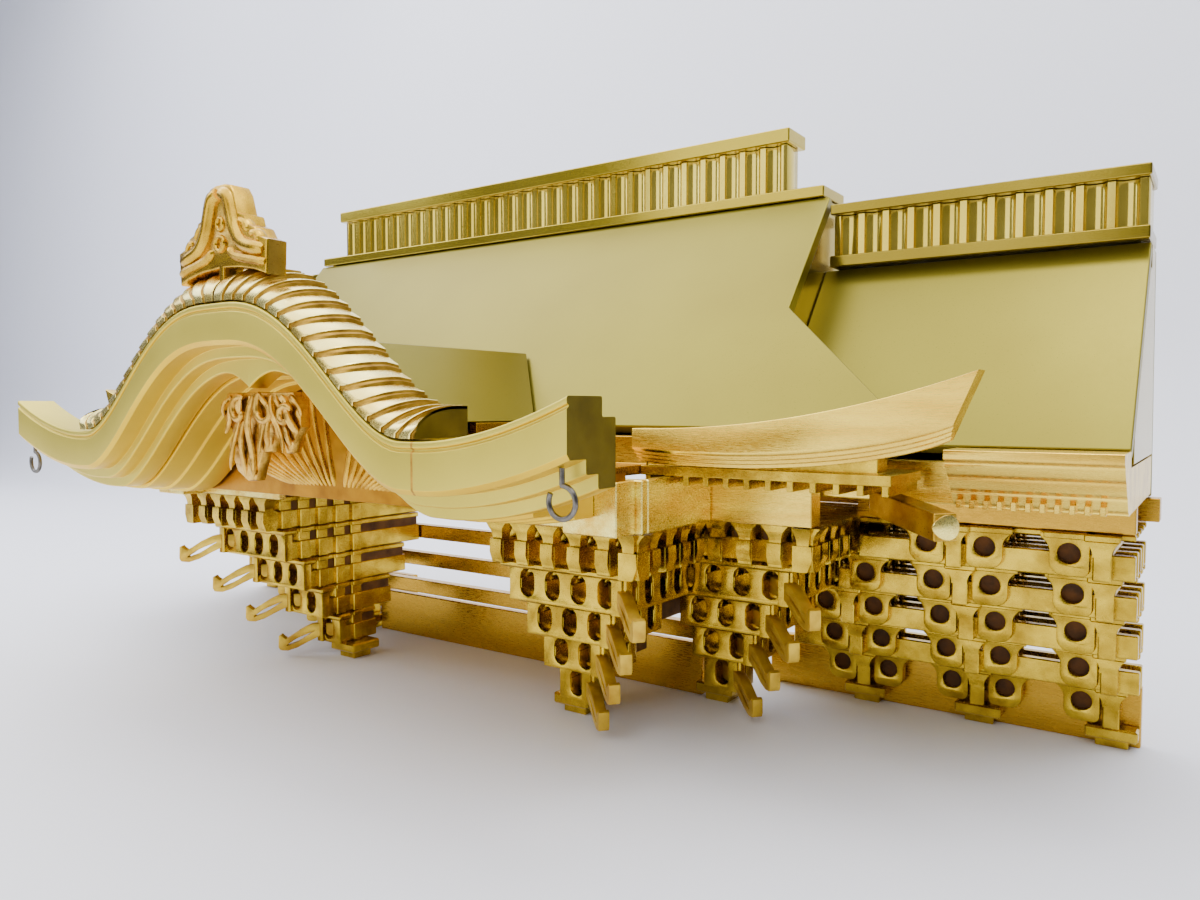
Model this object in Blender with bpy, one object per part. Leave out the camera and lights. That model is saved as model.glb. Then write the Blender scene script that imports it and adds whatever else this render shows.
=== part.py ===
"""Gilded palace roof of a household altar: a fluted ridge over a lacquered main roof, two lower wing roofs, a
porch with a curved gable, and five tiers of stepped brackets that stand on small base blocks.

X runs to the right, Y to the back and Z up. The origin is under the middle of the roof, on the table.
Every depth below is measured back from the front face of the porch gable."""

import math

import bmesh
import bpy

for old in list(bpy.data.objects):
    bpy.data.objects.remove(old, do_unlink=True)

MM = 0.001
GAP = 0.3 * MM  # clearance between two pieces that touch

# Whole object
BACK_FACE_DEPTH = 228 * MM
FRONT = -BACK_FACE_DEPTH / 2

# Bracket tiers
BASE_HEIGHT = 9 * MM
BASE_FOOT_HEIGHT = 4 * MM
BASE_WIDTH = 19 * MM
BASE_FOOT_WIDTH = 12 * MM
TIER_COUNT = 5
TIER_PITCH = 16.8 * MM
ARM_HEIGHT = 9.8 * MM
ARM_WIDTH = 6 * MM
CAP_WIDTH = 8 * MM
STEP_X = 13 * MM
STEP_Y = 11.3 * MM
BRACKET_TOP_Z = BASE_HEIGHT + TIER_COUNT * TIER_PITCH

# Porch gable
PORCH_HALF_WIDTH = 170 * MM
GABLE_THICKNESS = 17 * MM
GABLE_BACK_THICKNESS = 7 * MM
GABLE_BACK_DROP = 6 * MM
GABLE_HEIGHT = 16 * MM
GABLE_END_HEIGHT = 18 * MM
GABLE_TROUGH_Z = BRACKET_TOP_Z + 35 * MM
GABLE_RISE = 50.5 * MM
GABLE_HUMP_FLAT = 5 * MM
GABLE_HUMP_END = 103 * MM
GABLE_HUMP_POWER = 1.3
GABLE_TROUGH_X = 110 * MM
GABLE_TIP_RISE = 14 * MM
GABLE_TIP_POWER = 1.8
GABLE_STATIONS = 16
GABLE_STEP_DEPTHS = (9 * MM, 15 * MM)
GABLE_STEP_DROP = 4.5 * MM
CUSP_HALF_WIDTH = 20 * MM
CUSP_DROP = 7 * MM
SOFFIT_STATIONS = 14
SOFFIT_LAYERS = 3
SOFFIT_LAYER_DEPTH = 11 * MM
SOFFIT_LAYER_DROP = 1.5 * MM
SOFFIT_CLEARANCE = 1.2 * MM
SOFFIT_HALF_WIDTH = 138 * MM
RIB_COUNT = 16
RIB_DEPTH = 24 * MM
RIB_RISE = 15 * MM
RIB_END_RISE = 11 * MM
RIB_STEP = 2.2 * MM
RIB_END_X = 109 * MM
RIB_SEAT = 0.8 * MM
DECK_TOP_Z = BRACKET_TOP_Z + 71 * MM
DECK_TOP_HALF = 49 * MM
DECK_FOOT_Z = BRACKET_TOP_Z + 40 * MM
DECK_FOOT_HALF = 75 * MM
DECK_FRONT = 39 * MM
DECK_THICKNESS = 4 * MM
DECK_SIDE_THICKNESS = 6.4 * MM
PANEL_THICKNESS = 8 * MM
PANEL_HALF_WIDTH = 146 * MM
PANEL_BOTTOM_Z = BRACKET_TOP_Z + 5 * MM
PANEL_SIDE_TOP_Z = BRACKET_TOP_Z + 21.5 * MM
PANEL_CLEARANCE = 3 * MM
SIDE_BOARD_THICKNESS = 4 * MM

# Finial and pendant of the gable
FINIAL_HALF_WIDTH = 33 * MM
FINIAL_HEIGHT = 30 * MM
FINIAL_THICKNESS = 11 * MM
FINIAL_DEPTH = 2 * MM
FINIAL_FOOT_SHARES = (0.94, 0.7, 0.4)
FINIAL_TONGUE_HALF = 1.7 * MM
PENDANT_DEPTH = 16 * MM
PENDANT_THICKNESS = 9 * MM
PENDANT_HALF_WIDTH = 27 * MM
PENDANT_HEIGHT = 38 * MM

# Steel hooks under the gable ends
HOOK_X = 164.5 * MM
HOOK_DEPTH = 5 * MM
HOOK_RADIUS = 4.3 * MM
HOOK_WIRE = 1.5 * MM
HOOK_SHANK = 5 * MM

# Main roof
ROOF_HALF_WIDTH = 173.5 * MM
ROOF_TOP_DEPTH = 186 * MM
ROOF_TOP_Z = BRACKET_TOP_Z + 138 * MM
ROOF_SLOPE = 1.2
ROOF_KINK_DEPTH = 142.5 * MM
ROOF_FOOT_HALF_WIDTH = 233 * MM
ROOF_FOOT_DEPTH = 103 * MM
ROOF_THICKNESS = 5 * MM
VALLEY_CLEARANCE = 2 * MM
BACK_THICKNESS = 4 * MM
BACK_BOTTOM_Z = BRACKET_TOP_Z + 10 * MM
GABLE_WALL_X = 166 * MM
WALL_THICKNESS = 4 * MM

# Ridges, from the roof up: plinth, fluted frieze, cap
RIDGE_FRONT = 184.6 * MM
RIDGE_BACK = 210 * MM
RIDGE_PLINTH_HALF = 171 * MM
RIDGE_PLINTH_HEIGHT = 5 * MM
RIDGE_FRIEZE_HEIGHT = 21 * MM
RIDGE_FRIEZE_HALF = 152 * MM
RIDGE_FRIEZE_INSET = 3 * MM
RIDGE_CAP_HALF = 154.4 * MM
RIDGE_CAP_HEIGHT = 6.3 * MM
RIDGE_CAP_FRONT = 185 * MM
RIDGE_CAP_BACK = 204.3 * MM
FLUTE_PITCH = 10.4 * MM
FLUTE_WIDTH = 7.8 * MM
FLUTE_DEPTH = 2.5 * MM

# Wing roofs
WING_END_X = 294 * MM
WING_ROOF_TOP_Z = BRACKET_TOP_Z + 106 * MM
WING_ROOF_TOP_DEPTH = 190 * MM
WING_FOOT_DEPTH = 131 * MM
WING_PLINTH_HEIGHT = 5 * MM
WING_FRIEZE_HEIGHT = 17 * MM
WING_CAP_HEIGHT = 4.5 * MM
WING_RIDGE_FRONT = 183 * MM
WING_RIDGE_BACK = 213 * MM
WING_EAVE_FRONT = 110 * MM
WING_EAVE_TOP_Z = BRACKET_TOP_Z + 32 * MM
WING_EAVE_BOTTOM_Z = BRACKET_TOP_Z + 11.5 * MM
WING_EAVE_STEPS = 4
WING_EAVE_STEP = 5 * MM
WING_EAVE_INNER_X = 242 * MM
WING_FLOOR_FRONT = 133 * MM
WING_FLOOR_TOP_Z = BRACKET_TOP_Z + 26.8 * MM
REAR_FLOOR_X = 152 * MM

# Main eaves
EAVE_FRONT = 85 * MM
EAVE_INNER_X = 136 * MM
EAVE_CORNER_X = 258 * MM
EAVE_TOP_Z = BRACKET_TOP_Z + 38 * MM
EAVE_CORNER_TOP_Z = BRACKET_TOP_Z + 57 * MM
EAVE_HEIGHT = 8 * MM
EAVE_CORNER_HEIGHT = 17 * MM
EAVE_THICKNESS = 9 * MM
EAVE_SWEEP_POWER = 2.2
EAVE_END_RAKE = 0.42
EAVE_END_POWER = 6
EAVE_BEAD_COUNT = 3
EAVE_BEAD_HEIGHT = 1.5 * MM
EAVE_BEAD_STEP = 1.6 * MM
EAVE_STATIONS = 10
FASCIA_SETBACK = 6 * MM
FASCIA_HEIGHT = 3.6 * MM
FASCIA_END_X = 231 * MM
SLEEPER_FRONT = 96 * MM
SLEEPER_BACK = 106 * MM
SLEEPER_END_INSET = 8 * MM
RAFTER_COUNT = 12
RAFTER_WIDTH = 2.4 * MM
RAFTER_HEIGHT = 3.6 * MM
RAFTER_INSET = 1.5 * MM
RAFTER_LENGTH = 34 * MM
CORNER_RAFTER_WIDTH = 8 * MM
CORNER_RAFTER_HEIGHT = 9 * MM
CORNER_RAFTER_TIP_X = 247 * MM
CORNER_RAFTER_TIP_DEPTH = 95 * MM
CORNER_RAFTER_TIP_Z = BRACKET_TOP_Z + 3.5 * MM
CORNER_RAFTER_LENGTH = 44 * MM
CORNER_RAFTER_RISE = 3.8 * MM

# Corner towers: middle of the base block
FRONT_TOWER_X = 79 * MM
FRONT_TOWER_DEPTH = 131 * MM
REAR_TOWER_X = 124 * MM
REAR_TOWER_DEPTH = 183 * MM
NOSE_REACH = 24 * MM
NOSE_LEVEL_REACH = 2 * MM
NOSE_DROP = 5 * MM
NOSE_HEIGHT = 7 * MM
NOSE_TIP_HEIGHT = 8.5 * MM
NOSE_WIDTH = 4.8 * MM
NOSE_HEEL = 6 * MM
POINT_REACH = 9 * MM

# Wing brackets
WING_CLUSTER_X = (182 * MM, 232 * MM, 283 * MM)
WING_ROW_DEPTH = 217 * MM
WING_INNER_X = 150 * MM
WING_BAR_WIDTH = 5.5 * MM
WING_STEP = 11.5 * MM
WING_BRACKET_END_X = 293 * MM
ELBOW_REACH = 18 * MM
ELBOW_FOOT_SHARE = 0.75

# Boards behind the brackets, and the timbers over them
BOARD_HEIGHT = 25 * MM
BOARD_THICKNESS = 5 * MM
WING_BOARD_INNER_X = 131 * MM
PURLIN_THICKNESS = 9 * MM
PURLIN_END_X = 297.5 * MM
TIE_HEIGHT = 8 * MM
TIE_THICKNESS = 6 * MM
TIE_TIERS = (2, 3, 4, 5)
EAVE_BEAM_THICKNESS = 9 * MM


def y_at(depth):
    """The Y of a point that lies this far behind the porch's front face."""
    return FRONT + depth


def material(name, colour, roughness, metallic):
    """A plain finish; repeated calls give the same one."""
    found = bpy.data.materials.get(name)
    if found:
        return found
    made = bpy.data.materials.new(name)
    made.use_nodes = True
    shader = made.node_tree.nodes["Principled BSDF"]
    shader.inputs["Base Color"].default_value = (*colour, 1)
    shader.inputs["Roughness"].default_value = roughness
    shader.inputs["Metallic"].default_value = metallic
    return made


def lacquer():
    return material("pale_gold_lacquer", (0.45, 0.41, 0.16), 0.3, 0.6)


def ridge_gold():
    return material("olive_gold_lacquer", (0.36, 0.29, 0.04), 0.25, 0.7)


def leaf():
    return material("gold_leaf", (0.80, 0.58, 0.18), 0.32, 1.0)


def matt_gold():
    return material("matt_gold_paint", (0.82, 0.72, 0.34), 0.45, 0.6)


def steel():
    return material("hook_steel", (0.42, 0.42, 0.42), 0.35, 1.0)


def finished(name, shape, finish):
    """Turns a bmesh into a named object, faces out, with its finish."""
    bmesh.ops.remove_doubles(shape, verts=shape.verts, dist=0.00001)
    bmesh.ops.recalc_face_normals(shape, faces=shape.faces)
    mesh = bpy.data.meshes.new(name)
    shape.to_mesh(mesh)
    shape.free()
    mesh.materials.append(finish)
    made = bpy.data.objects.new(name, mesh)
    bpy.context.scene.collection.objects.link(made)
    return made


def loft(name, rings, finish):
    """A closed solid through rings that all have the same number of points."""
    shape = bmesh.new()
    made = [[shape.verts.new(point) for point in ring] for ring in rings]
    for first, second in zip(made, made[1:]):
        for i, start in enumerate(first):
            after = (i + 1) % len(first)
            shape.faces.new((start, first[after], second[after], second[i]))
    shape.faces.new(made[0])
    shape.faces.new(made[-1])
    return finished(name, shape, finish)


def prism_x(name, outline, x_from, x_to, finish):
    """A (y, z) outline carried along X."""
    return loft(name, [[(x, y, z) for y, z in outline] for x in (x_from, x_to)], finish)


def prism_y(name, outline, y_from, y_to, finish):
    """An (x, z) outline carried along Y."""
    return loft(name, [[(x, y, z) for x, z in outline] for y in (y_from, y_to)], finish)


def prism_z(name, outline, z_from, z_to, finish):
    """An (x, y) outline carried along Z."""
    return loft(name, [[(x, y, z) for x, y in outline] for z in (z_from, z_to)], finish)


def block(name, x, y, z, finish):
    """A box from three (low, high) pairs."""
    return prism_z(name, [(x[0], y[0]), (x[1], y[0]), (x[1], y[1]), (x[0], y[1])], *z, finish)


def stacked(name, boxes, finish):
    """One solid from boxes that share faces or overlap: ((x0, x1), (y0, y1), (z0, z1)) each.

    Space is cut along every box face, the cells inside any box are kept, and the faces between a kept
    and an empty cell become the skin."""
    cuts = []
    for axis in range(3):
        values = sorted(end for box in boxes for end in box[axis])
        kept = values[:1]
        for value in values:
            if value - kept[-1] > 0.05 * MM:
                kept.append(value)
        cuts.append(kept)

    def nearest(axis, value):
        return min(range(len(cuts[axis])), key=lambda i: abs(cuts[axis][i] - value))

    full = set()
    for box in boxes:
        spans = [range(nearest(axis, box[axis][0]), nearest(axis, box[axis][1])) for axis in range(3)]
        full.update((i, j, k) for i in spans[0] for j in spans[1] for k in spans[2])

    shape = bmesh.new()
    corners = {}

    def corner(index):
        if index not in corners:
            corners[index] = shape.verts.new([cuts[axis][index[axis]] for axis in range(3)])
        return corners[index]

    for cell in full:
        for axis in range(3):
            for side in (0, 1):
                beyond = list(cell)
                beyond[axis] += 1 if side else -1
                if tuple(beyond) in full:
                    continue
                first, second = (axis + 1) % 3, (axis + 2) % 3
                ring = []
                for a, b in ((0, 0), (1, 0), (1, 1), (0, 1)):
                    index = list(cell)
                    index[axis] += side
                    index[first] += a
                    index[second] += b
                    ring.append(corner(tuple(index)))
                shape.faces.new(ring if side else ring[::-1])
    bmesh.ops.dissolve_limit(shape, angle_limit=0.01, verts=shape.verts, edges=shape.edges)
    return finished(name, shape, finish)


def span(centre, width):
    return (centre - width / 2, centre + width / 2)


def signed(x, side):
    """A (low, high) pair of X mirrored to the left when side is -1."""
    return tuple(sorted(side * value for value in x))


def sides():
    return (("right", 1), ("left", -1))


# Porch gable


def gable_top(x):
    """Height of the gable's upper edge: a broad hump that eases into a trough, then a lift to the tip."""
    away = abs(x)
    t = min(max((away - GABLE_HUMP_FLAT) / (GABLE_HUMP_END - GABLE_HUMP_FLAT), 0), 1) ** GABLE_HUMP_POWER
    hump = 1 - t * t * (3 - 2 * t)
    lift = max((away - GABLE_TROUGH_X) / (PORCH_HALF_WIDTH - GABLE_TROUGH_X), 0) ** GABLE_TIP_POWER
    return GABLE_TROUGH_Z + GABLE_RISE * hump + GABLE_TIP_RISE * lift


def gable_bottom(x):
    share = abs(x) / PORCH_HALF_WIDTH
    return gable_top(x) - GABLE_HEIGHT - (GABLE_END_HEIGHT - GABLE_HEIGHT) * share


def along(x_from, x_to, count):
    return [x_from + (x_to - x_from) * i / count for i in range(count + 1)]


def gable_low(x):
    """Lower edge of the board's last step, which has a cusp in the middle."""
    cusp = max(1 - abs(x) / CUSP_HALF_WIDTH, 0) ** 2
    return gable_bottom(x) - len(GABLE_STEP_DEPTHS) * GABLE_STEP_DROP - cusp * CUSP_DROP


def gable():
    """Front board: its underside steps down towards the back, and its top has one lower step."""
    front, back = y_at(0), y_at(GABLE_THICKNESS)
    rear = y_at(GABLE_THICKNESS + GABLE_BACK_THICKNESS)
    first, second = (y_at(depth) for depth in GABLE_STEP_DEPTHS)
    rings = []
    for x in along(-PORCH_HALF_WIDTH, PORCH_HALF_WIDTH, 2 * GABLE_STATIONS):
        top, bottom = gable_top(x), gable_bottom(x)
        ring = [(x, front, bottom), (x, front, top), (x, back, top)]
        ring += [(x, back, top - GABLE_BACK_DROP), (x, rear, top - GABLE_BACK_DROP), (x, rear, gable_low(x))]
        ring += [(x, second, gable_low(x)), (x, second, bottom - GABLE_STEP_DROP)]
        ring += [(x, first, bottom - GABLE_STEP_DROP), (x, first, bottom)]
        rings.append(ring)
    loft("porch_gable_board", rings, matt_gold())


def soffit_bottom(x, layer):
    """Each deeper layer hangs a little lower than the gable board's last step."""
    return gable_bottom(x) - len(GABLE_STEP_DEPTHS) * GABLE_STEP_DROP - layer * SOFFIT_LAYER_DROP


def soffit_front():
    return GABLE_THICKNESS + GABLE_BACK_THICKNESS + GAP


def soffit_back():
    return soffit_front() + SOFFIT_LAYERS * SOFFIT_LAYER_DEPTH


def deck_under(x):
    """Underside of the low roof behind the gable, for what has to stay below it."""
    inner_top = DECK_TOP_HALF - DECK_THICKNESS
    inner_foot = DECK_FOOT_HALF - DECK_SIDE_THICKNESS
    if abs(x) > DECK_FOOT_HALF:
        return DECK_TOP_Z
    share = min(max((abs(x) - inner_top) / (inner_foot - inner_top), 0), 1)
    return DECK_TOP_Z - DECK_THICKNESS + (DECK_FOOT_Z - DECK_TOP_Z + DECK_THICKNESS) * share


def soffit():
    """Stepped lining inside the arch, up to the board's height and, further in, to the deck."""
    start, end = soffit_front(), soffit_back()
    rings = []
    for x in along(-SOFFIT_HALF_WIDTH, SOFFIT_HALF_WIDTH, 2 * SOFFIT_STATIONS):
        top = gable_bottom(x)
        low_top = min(top, deck_under(x) - SOFFIT_CLEARANCE)
        ring = [(x, y_at(DECK_FRONT - GAP), low_top), (x, y_at(DECK_FRONT - GAP), top), (x, y_at(start), top)]
        for layer in range(1, SOFFIT_LAYERS + 1):
            low = soffit_bottom(x, layer)
            near = start + (layer - 1) * SOFFIT_LAYER_DEPTH
            ring += [(x, y_at(near), low), (x, y_at(near + SOFFIT_LAYER_DEPTH), low)]
        ring.append((x, y_at(end), low_top))
        rings.append(ring)
    loft("porch_soffit", rings, matt_gold())


def rib_rise(x):
    return RIB_RISE + (RIB_END_RISE - RIB_RISE) * x / RIB_END_X


def rib_crest(x):
    return gable_top(x) + RIB_SEAT + rib_rise(x)


def ribs(name, side):
    """Verge courses on the gable's top: a quarter-round row whose crest steps down from course to course."""
    finial_edge = 2 * MM
    pitch = (RIB_END_X - finial_edge) / RIB_COUNT
    rings = []
    for course in range(RIB_COUNT):
        for share, step in ((0.02, RIB_STEP), (0.98, 0)):
            x = finial_edge + (course + share) * pitch
            base = gable_top(x) + RIB_SEAT
            rise = rib_rise(x) - step
            ring = [(side * x, y_at(GAP), base), (side * x, y_at(GAP), base + 0.15 * rise)]
            for turn in (45, 90):
                angle = math.radians(turn)
                depth = GAP + RIB_DEPTH * 0.8 * (1 - math.cos(angle))
                ring.append((side * x, y_at(depth), base + rise * (0.15 + 0.85 * math.sin(angle))))
            ring.append((side * x, y_at(RIB_DEPTH), base + rise))
            ring.append((side * x, y_at(RIB_DEPTH), base))
            rings.append(ring)
    loft(name, rings, leaf())


def panel():
    """Board that closes the porch under the arch."""
    top = []
    for x in along(-PANEL_HALF_WIDTH, PANEL_HALF_WIDTH, 24):
        arch = gable_bottom(x)
        top.append((x, max(PANEL_SIDE_TOP_Z, min(arch, DECK_TOP_Z - DECK_THICKNESS - PANEL_CLEARANCE))))
    outline = [(-PANEL_HALF_WIDTH, PANEL_BOTTOM_Z), *top, (PANEL_HALF_WIDTH, PANEL_BOTTOM_Z)]
    front = soffit_back() + GAP
    prism_y("porch_panel", outline, y_at(front), y_at(front + PANEL_THICKNESS), leaf())


def roof_z(depth):
    """Height of the main roof's face at this depth."""
    return ROOF_TOP_Z - ROOF_SLOPE * (ROOF_TOP_DEPTH - depth)


def roof_depth(z):
    return ROOF_TOP_DEPTH - (ROOF_TOP_Z - z) / ROOF_SLOPE


def deck():
    """Low roof behind the gable, running back until it dies into the main slope."""
    half = [(DECK_FOOT_HALF, DECK_FOOT_Z), (DECK_TOP_HALF, DECK_TOP_Z)]
    under = [(DECK_TOP_HALF - DECK_THICKNESS, DECK_TOP_Z - DECK_THICKNESS)]
    under.append((DECK_FOOT_HALF - DECK_SIDE_THICKNESS, DECK_FOOT_Z))
    outline = half + [(-x, z) for x, z in half[::-1]] + [(-x, z) for x, z in under[::-1]] + under
    near = [(x, y_at(DECK_FRONT), z) for x, z in outline]
    far = [(x, y_at(roof_depth(z) - VALLEY_CLEARANCE), z) for x, z in outline]
    loft("porch_deck", [near, far], lacquer())


def finial():
    """Stepped ogee crest on the middle of the gable, with a tongue that stands between the two rows of courses."""
    half = [(0.10, 1.0), (0.30, 0.97), (0.40, 0.86), (0.48, 0.56), (0.62, 0.54), (0.66, 0.42)]
    half += [(0.80, 0.34), (0.86, 0.22), (1.0, 0.20)]
    base = rib_crest(0) + GAP
    right = [(x * FINIAL_HALF_WIDTH, base + z * FINIAL_HEIGHT) for x, z in half]
    for share in FINIAL_FOOT_SHARES:
        right.append((share * FINIAL_HALF_WIDTH, rib_crest(share * FINIAL_HALF_WIDTH) + GAP))
    right += [(FINIAL_TONGUE_HALF, base), (FINIAL_TONGUE_HALF, gable_top(0) + GAP)]
    outline = right + [(-x, z) for x, z in right[::-1]]
    prism_y("porch_finial", outline, y_at(FINIAL_DEPTH), y_at(FINIAL_DEPTH + FINIAL_THICKNESS), leaf())


def pendant():
    """Carved leaf drop under the board's cusp."""
    half = [(0.0, 1.0), (0.5, 0.98), (0.85, 0.80), (1.0, 0.45), (0.72, 0.30), (0.60, 0.42), (0.40, 0.30)]
    half += [(0.34, 0.08), (0.12, 0.0)]
    bottom = gable_low(0) - GAP - PENDANT_HEIGHT
    right = [(x * PENDANT_HALF_WIDTH, bottom + z * PENDANT_HEIGHT) for x, z in half[1:]]
    outline = right + [(-x, z) for x, z in right[::-1]]
    prism_y("porch_pendant", outline, y_at(PENDANT_DEPTH), y_at(PENDANT_DEPTH + PENDANT_THICKNESS), leaf())


def hook(name, side):
    """Steel screw hook: a straight shank under the board's end, then most of a circle, open to the left."""
    top = gable_bottom(HOOK_X) - GAP
    centre = top - HOOK_SHANK - HOOK_RADIUS
    line = [(0, top), (0, centre + HOOK_RADIUS)]
    for turn in range(60, -211, -45):
        angle = math.radians(turn)
        line.append((HOOK_RADIUS * math.cos(angle), centre + HOOK_RADIUS * math.sin(angle)))
    curve = bpy.data.curves.new(name, "CURVE")
    curve.dimensions = "3D"
    curve.bevel_depth = HOOK_WIRE / 2
    curve.bevel_resolution = 1
    curve.use_fill_caps = True
    spline = curve.splines.new("POLY")
    spline.points.add(len(line) - 1)
    for point, (x, z) in zip(spline.points, line):
        point.co = (side * HOOK_X + x, y_at(HOOK_DEPTH), z, 1)
    curve.materials.append(steel())
    bpy.context.scene.collection.objects.link(bpy.data.objects.new(name, curve))


# Roofs


def slab_down(outline, thickness, slope):
    """Upper and lower rings of a board on a slope: (x, depth, z) corners, and the same moved square to the face."""
    lean = math.hypot(1, slope)
    down, back = thickness / lean, thickness * slope / lean
    upper = [(x, y_at(depth), z) for x, depth, z in outline]
    return [upper, [(x, y + back, z - down) for x, y, z in upper]]


def main_slope():
    """Front slope: straight verges, then hips that spread to the eave corners."""
    half = [(ROOF_HALF_WIDTH, ROOF_TOP_DEPTH), (ROOF_HALF_WIDTH, ROOF_KINK_DEPTH)]
    half.append((ROOF_FOOT_HALF_WIDTH, ROOF_FOOT_DEPTH))
    outline = [(x, depth, roof_z(depth)) for x, depth in half]
    outline += [(-x, depth, z) for x, depth, z in outline[::-1]]
    loft("main_roof_slope", slab_down(outline, ROOF_THICKNESS, ROOF_SLOPE), lacquer())


def wing_slope_rate():
    return (WING_ROOF_TOP_Z - WING_EAVE_TOP_Z) / (WING_ROOF_TOP_DEPTH - WING_FOOT_DEPTH)


def wing_z(depth):
    return WING_ROOF_TOP_Z - wing_slope_rate() * (WING_ROOF_TOP_DEPTH - depth)


def wing_slope(name, side):
    inner = GABLE_WALL_X + WALL_THICKNESS + GAP
    outline = [(side * x, depth, wing_z(depth) + GAP) for x, depth in (
        (inner, WING_ROOF_TOP_DEPTH), (WING_END_X, WING_ROOF_TOP_DEPTH),
        (WING_END_X, WING_FOOT_DEPTH), (inner, WING_FOOT_DEPTH))]
    loft(name, slab_down(outline, ROOF_THICKNESS, wing_slope_rate()), lacquer())


def under_slope(depth, face):
    """Height just under a roof board at this depth; face gives the height of the board's outer face."""
    slope = (face(ROOF_TOP_DEPTH) - face(ROOF_KINK_DEPTH)) / (ROOF_TOP_DEPTH - ROOF_KINK_DEPTH)
    return face(depth) - ROOF_THICKNESS * math.hypot(1, slope) - 2 * GAP


def wall_top(depth, top, face):
    """Upper edge of a wall under a roof: below the board to its top edge, then up behind it to the ridge."""
    low, behind = under_slope(depth, face), depth + ROOF_THICKNESS
    return [(depth, low), (behind, low), (behind, top), (back_depth(top), top)]


def gable_wall(name, side):
    """Upright board under the main roof's verge."""
    foot, floor = WING_FOOT_DEPTH + ROOF_THICKNESS, WING_FLOOR_TOP_Z + GAP
    outline = [(foot, floor), (foot, under_slope(foot, roof_z))]
    outline += wall_top(ROOF_TOP_DEPTH, ROOF_TOP_Z, roof_z) + [(back_depth(floor), floor)]
    x_from, x_to = signed((GABLE_WALL_X, GABLE_WALL_X + WALL_THICKNESS), side)
    prism_x(name, [(y_at(depth), z) for depth, z in outline], x_from, x_to, ridge_gold())


def back_depth(z):
    """Inner face of the plain back, which leans from the ridge out to the back edge."""
    share = (ROOF_TOP_Z - z) / (ROOF_TOP_Z - BACK_BOTTOM_Z)
    return RIDGE_BACK - BACK_THICKNESS + (BACK_FACE_DEPTH - RIDGE_BACK) * share - GAP


def wing_end(name, side):
    """Board that closes the wing roof's end, from the eave up to the ridge."""
    foot, floor = WING_FOOT_DEPTH + 2 * ROOF_THICKNESS, WING_FLOOR_TOP_Z + GAP
    outline = [(foot, floor), (foot, under_slope(foot, wing_z))]
    outline += wall_top(WING_ROOF_TOP_DEPTH, WING_ROOF_TOP_Z, wing_z) + [(back_depth(floor), floor)]
    x_from, x_to = signed((WING_END_X - WALL_THICKNESS, WING_END_X), side)
    prism_x(name, [(y_at(depth), z) for depth, z in outline], x_from, x_to, ridge_gold())


def roof_back():
    """Plain board behind all three roofs: high behind the main ridge, lower behind the wings."""
    half = [(WING_END_X, BACK_BOTTOM_Z), (WING_END_X, WING_ROOF_TOP_Z)]
    half += [(RIDGE_PLINTH_HALF, WING_ROOF_TOP_Z), (RIDGE_PLINTH_HALF, ROOF_TOP_Z)]
    outline = half + [(-x, z) for x, z in half[::-1]]
    near = [(x, y_at(back_depth(z) + GAP), z) for x, z in outline]
    loft("roof_back", [near, [(x, y + BACK_THICKNESS, z) for x, y, z in near]], lacquer())


def fluted(half_length, front, back):
    """Plan of a frieze: a flute cut into its front and its back at every pitch."""
    count = int((2 * half_length - FLUTE_WIDTH - GAP) / FLUTE_PITCH)
    first = -count * FLUTE_PITCH / 2
    face = [(-half_length, 0)]
    for i in range(count + 1):
        low, high = span(first + i * FLUTE_PITCH, FLUTE_WIDTH)
        face += [(low, 0), (low + FLUTE_DEPTH / 2, FLUTE_DEPTH), (high - FLUTE_DEPTH / 2, FLUTE_DEPTH), (high, 0)]
    face.append((half_length, 0))
    return [(x, y_at(front + cut)) for x, cut in face] + [(half_length, y_at(back)), (-half_length, y_at(back))]


def main_ridge():
    z = ROOF_TOP_Z + GAP
    block("main_ridge_plinth", (-RIDGE_PLINTH_HALF, RIDGE_PLINTH_HALF), (y_at(RIDGE_FRONT), y_at(RIDGE_BACK)),
          (z, z + RIDGE_PLINTH_HEIGHT), ridge_gold())
    z += RIDGE_PLINTH_HEIGHT + GAP
    front, back = RIDGE_CAP_FRONT + RIDGE_FRIEZE_INSET, RIDGE_CAP_BACK - RIDGE_FRIEZE_INSET
    prism_z("main_ridge_frieze", fluted(RIDGE_FRIEZE_HALF, front, back), z, z + RIDGE_FRIEZE_HEIGHT, ridge_gold())
    z += RIDGE_FRIEZE_HEIGHT + GAP
    block("main_ridge_cap", (-RIDGE_CAP_HALF, RIDGE_CAP_HALF), (y_at(RIDGE_CAP_FRONT), y_at(RIDGE_CAP_BACK)),
          (z, z + RIDGE_CAP_HEIGHT), ridge_gold())


def wing_ridge(word, side):
    inner = ROOF_HALF_WIDTH + 1 * MM
    x = signed((inner, WING_END_X), side)
    z = WING_ROOF_TOP_Z + 2 * GAP
    block(f"wing_ridge_plinth_{word}", x, (y_at(WING_RIDGE_FRONT), y_at(WING_RIDGE_BACK)),
          (z, z + WING_PLINTH_HEIGHT), ridge_gold())
    z += WING_PLINTH_HEIGHT + GAP
    half = (WING_END_X - inner) / 2 - 1 * MM
    middle = side * (inner + WING_END_X) / 2
    plan = fluted(half, WING_RIDGE_FRONT + RIDGE_FRIEZE_INSET, WING_RIDGE_BACK - RIDGE_FRIEZE_INSET)
    prism_z(f"wing_ridge_frieze_{word}", [(middle + px, py) for px, py in plan],
            z, z + WING_FRIEZE_HEIGHT, ridge_gold())
    z += WING_FRIEZE_HEIGHT + GAP
    block(f"wing_ridge_cap_{word}", x, (y_at(WING_RIDGE_FRONT), y_at(WING_RIDGE_BACK)),
          (z, z + WING_CAP_HEIGHT), ridge_gold())


# Eaves


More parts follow.
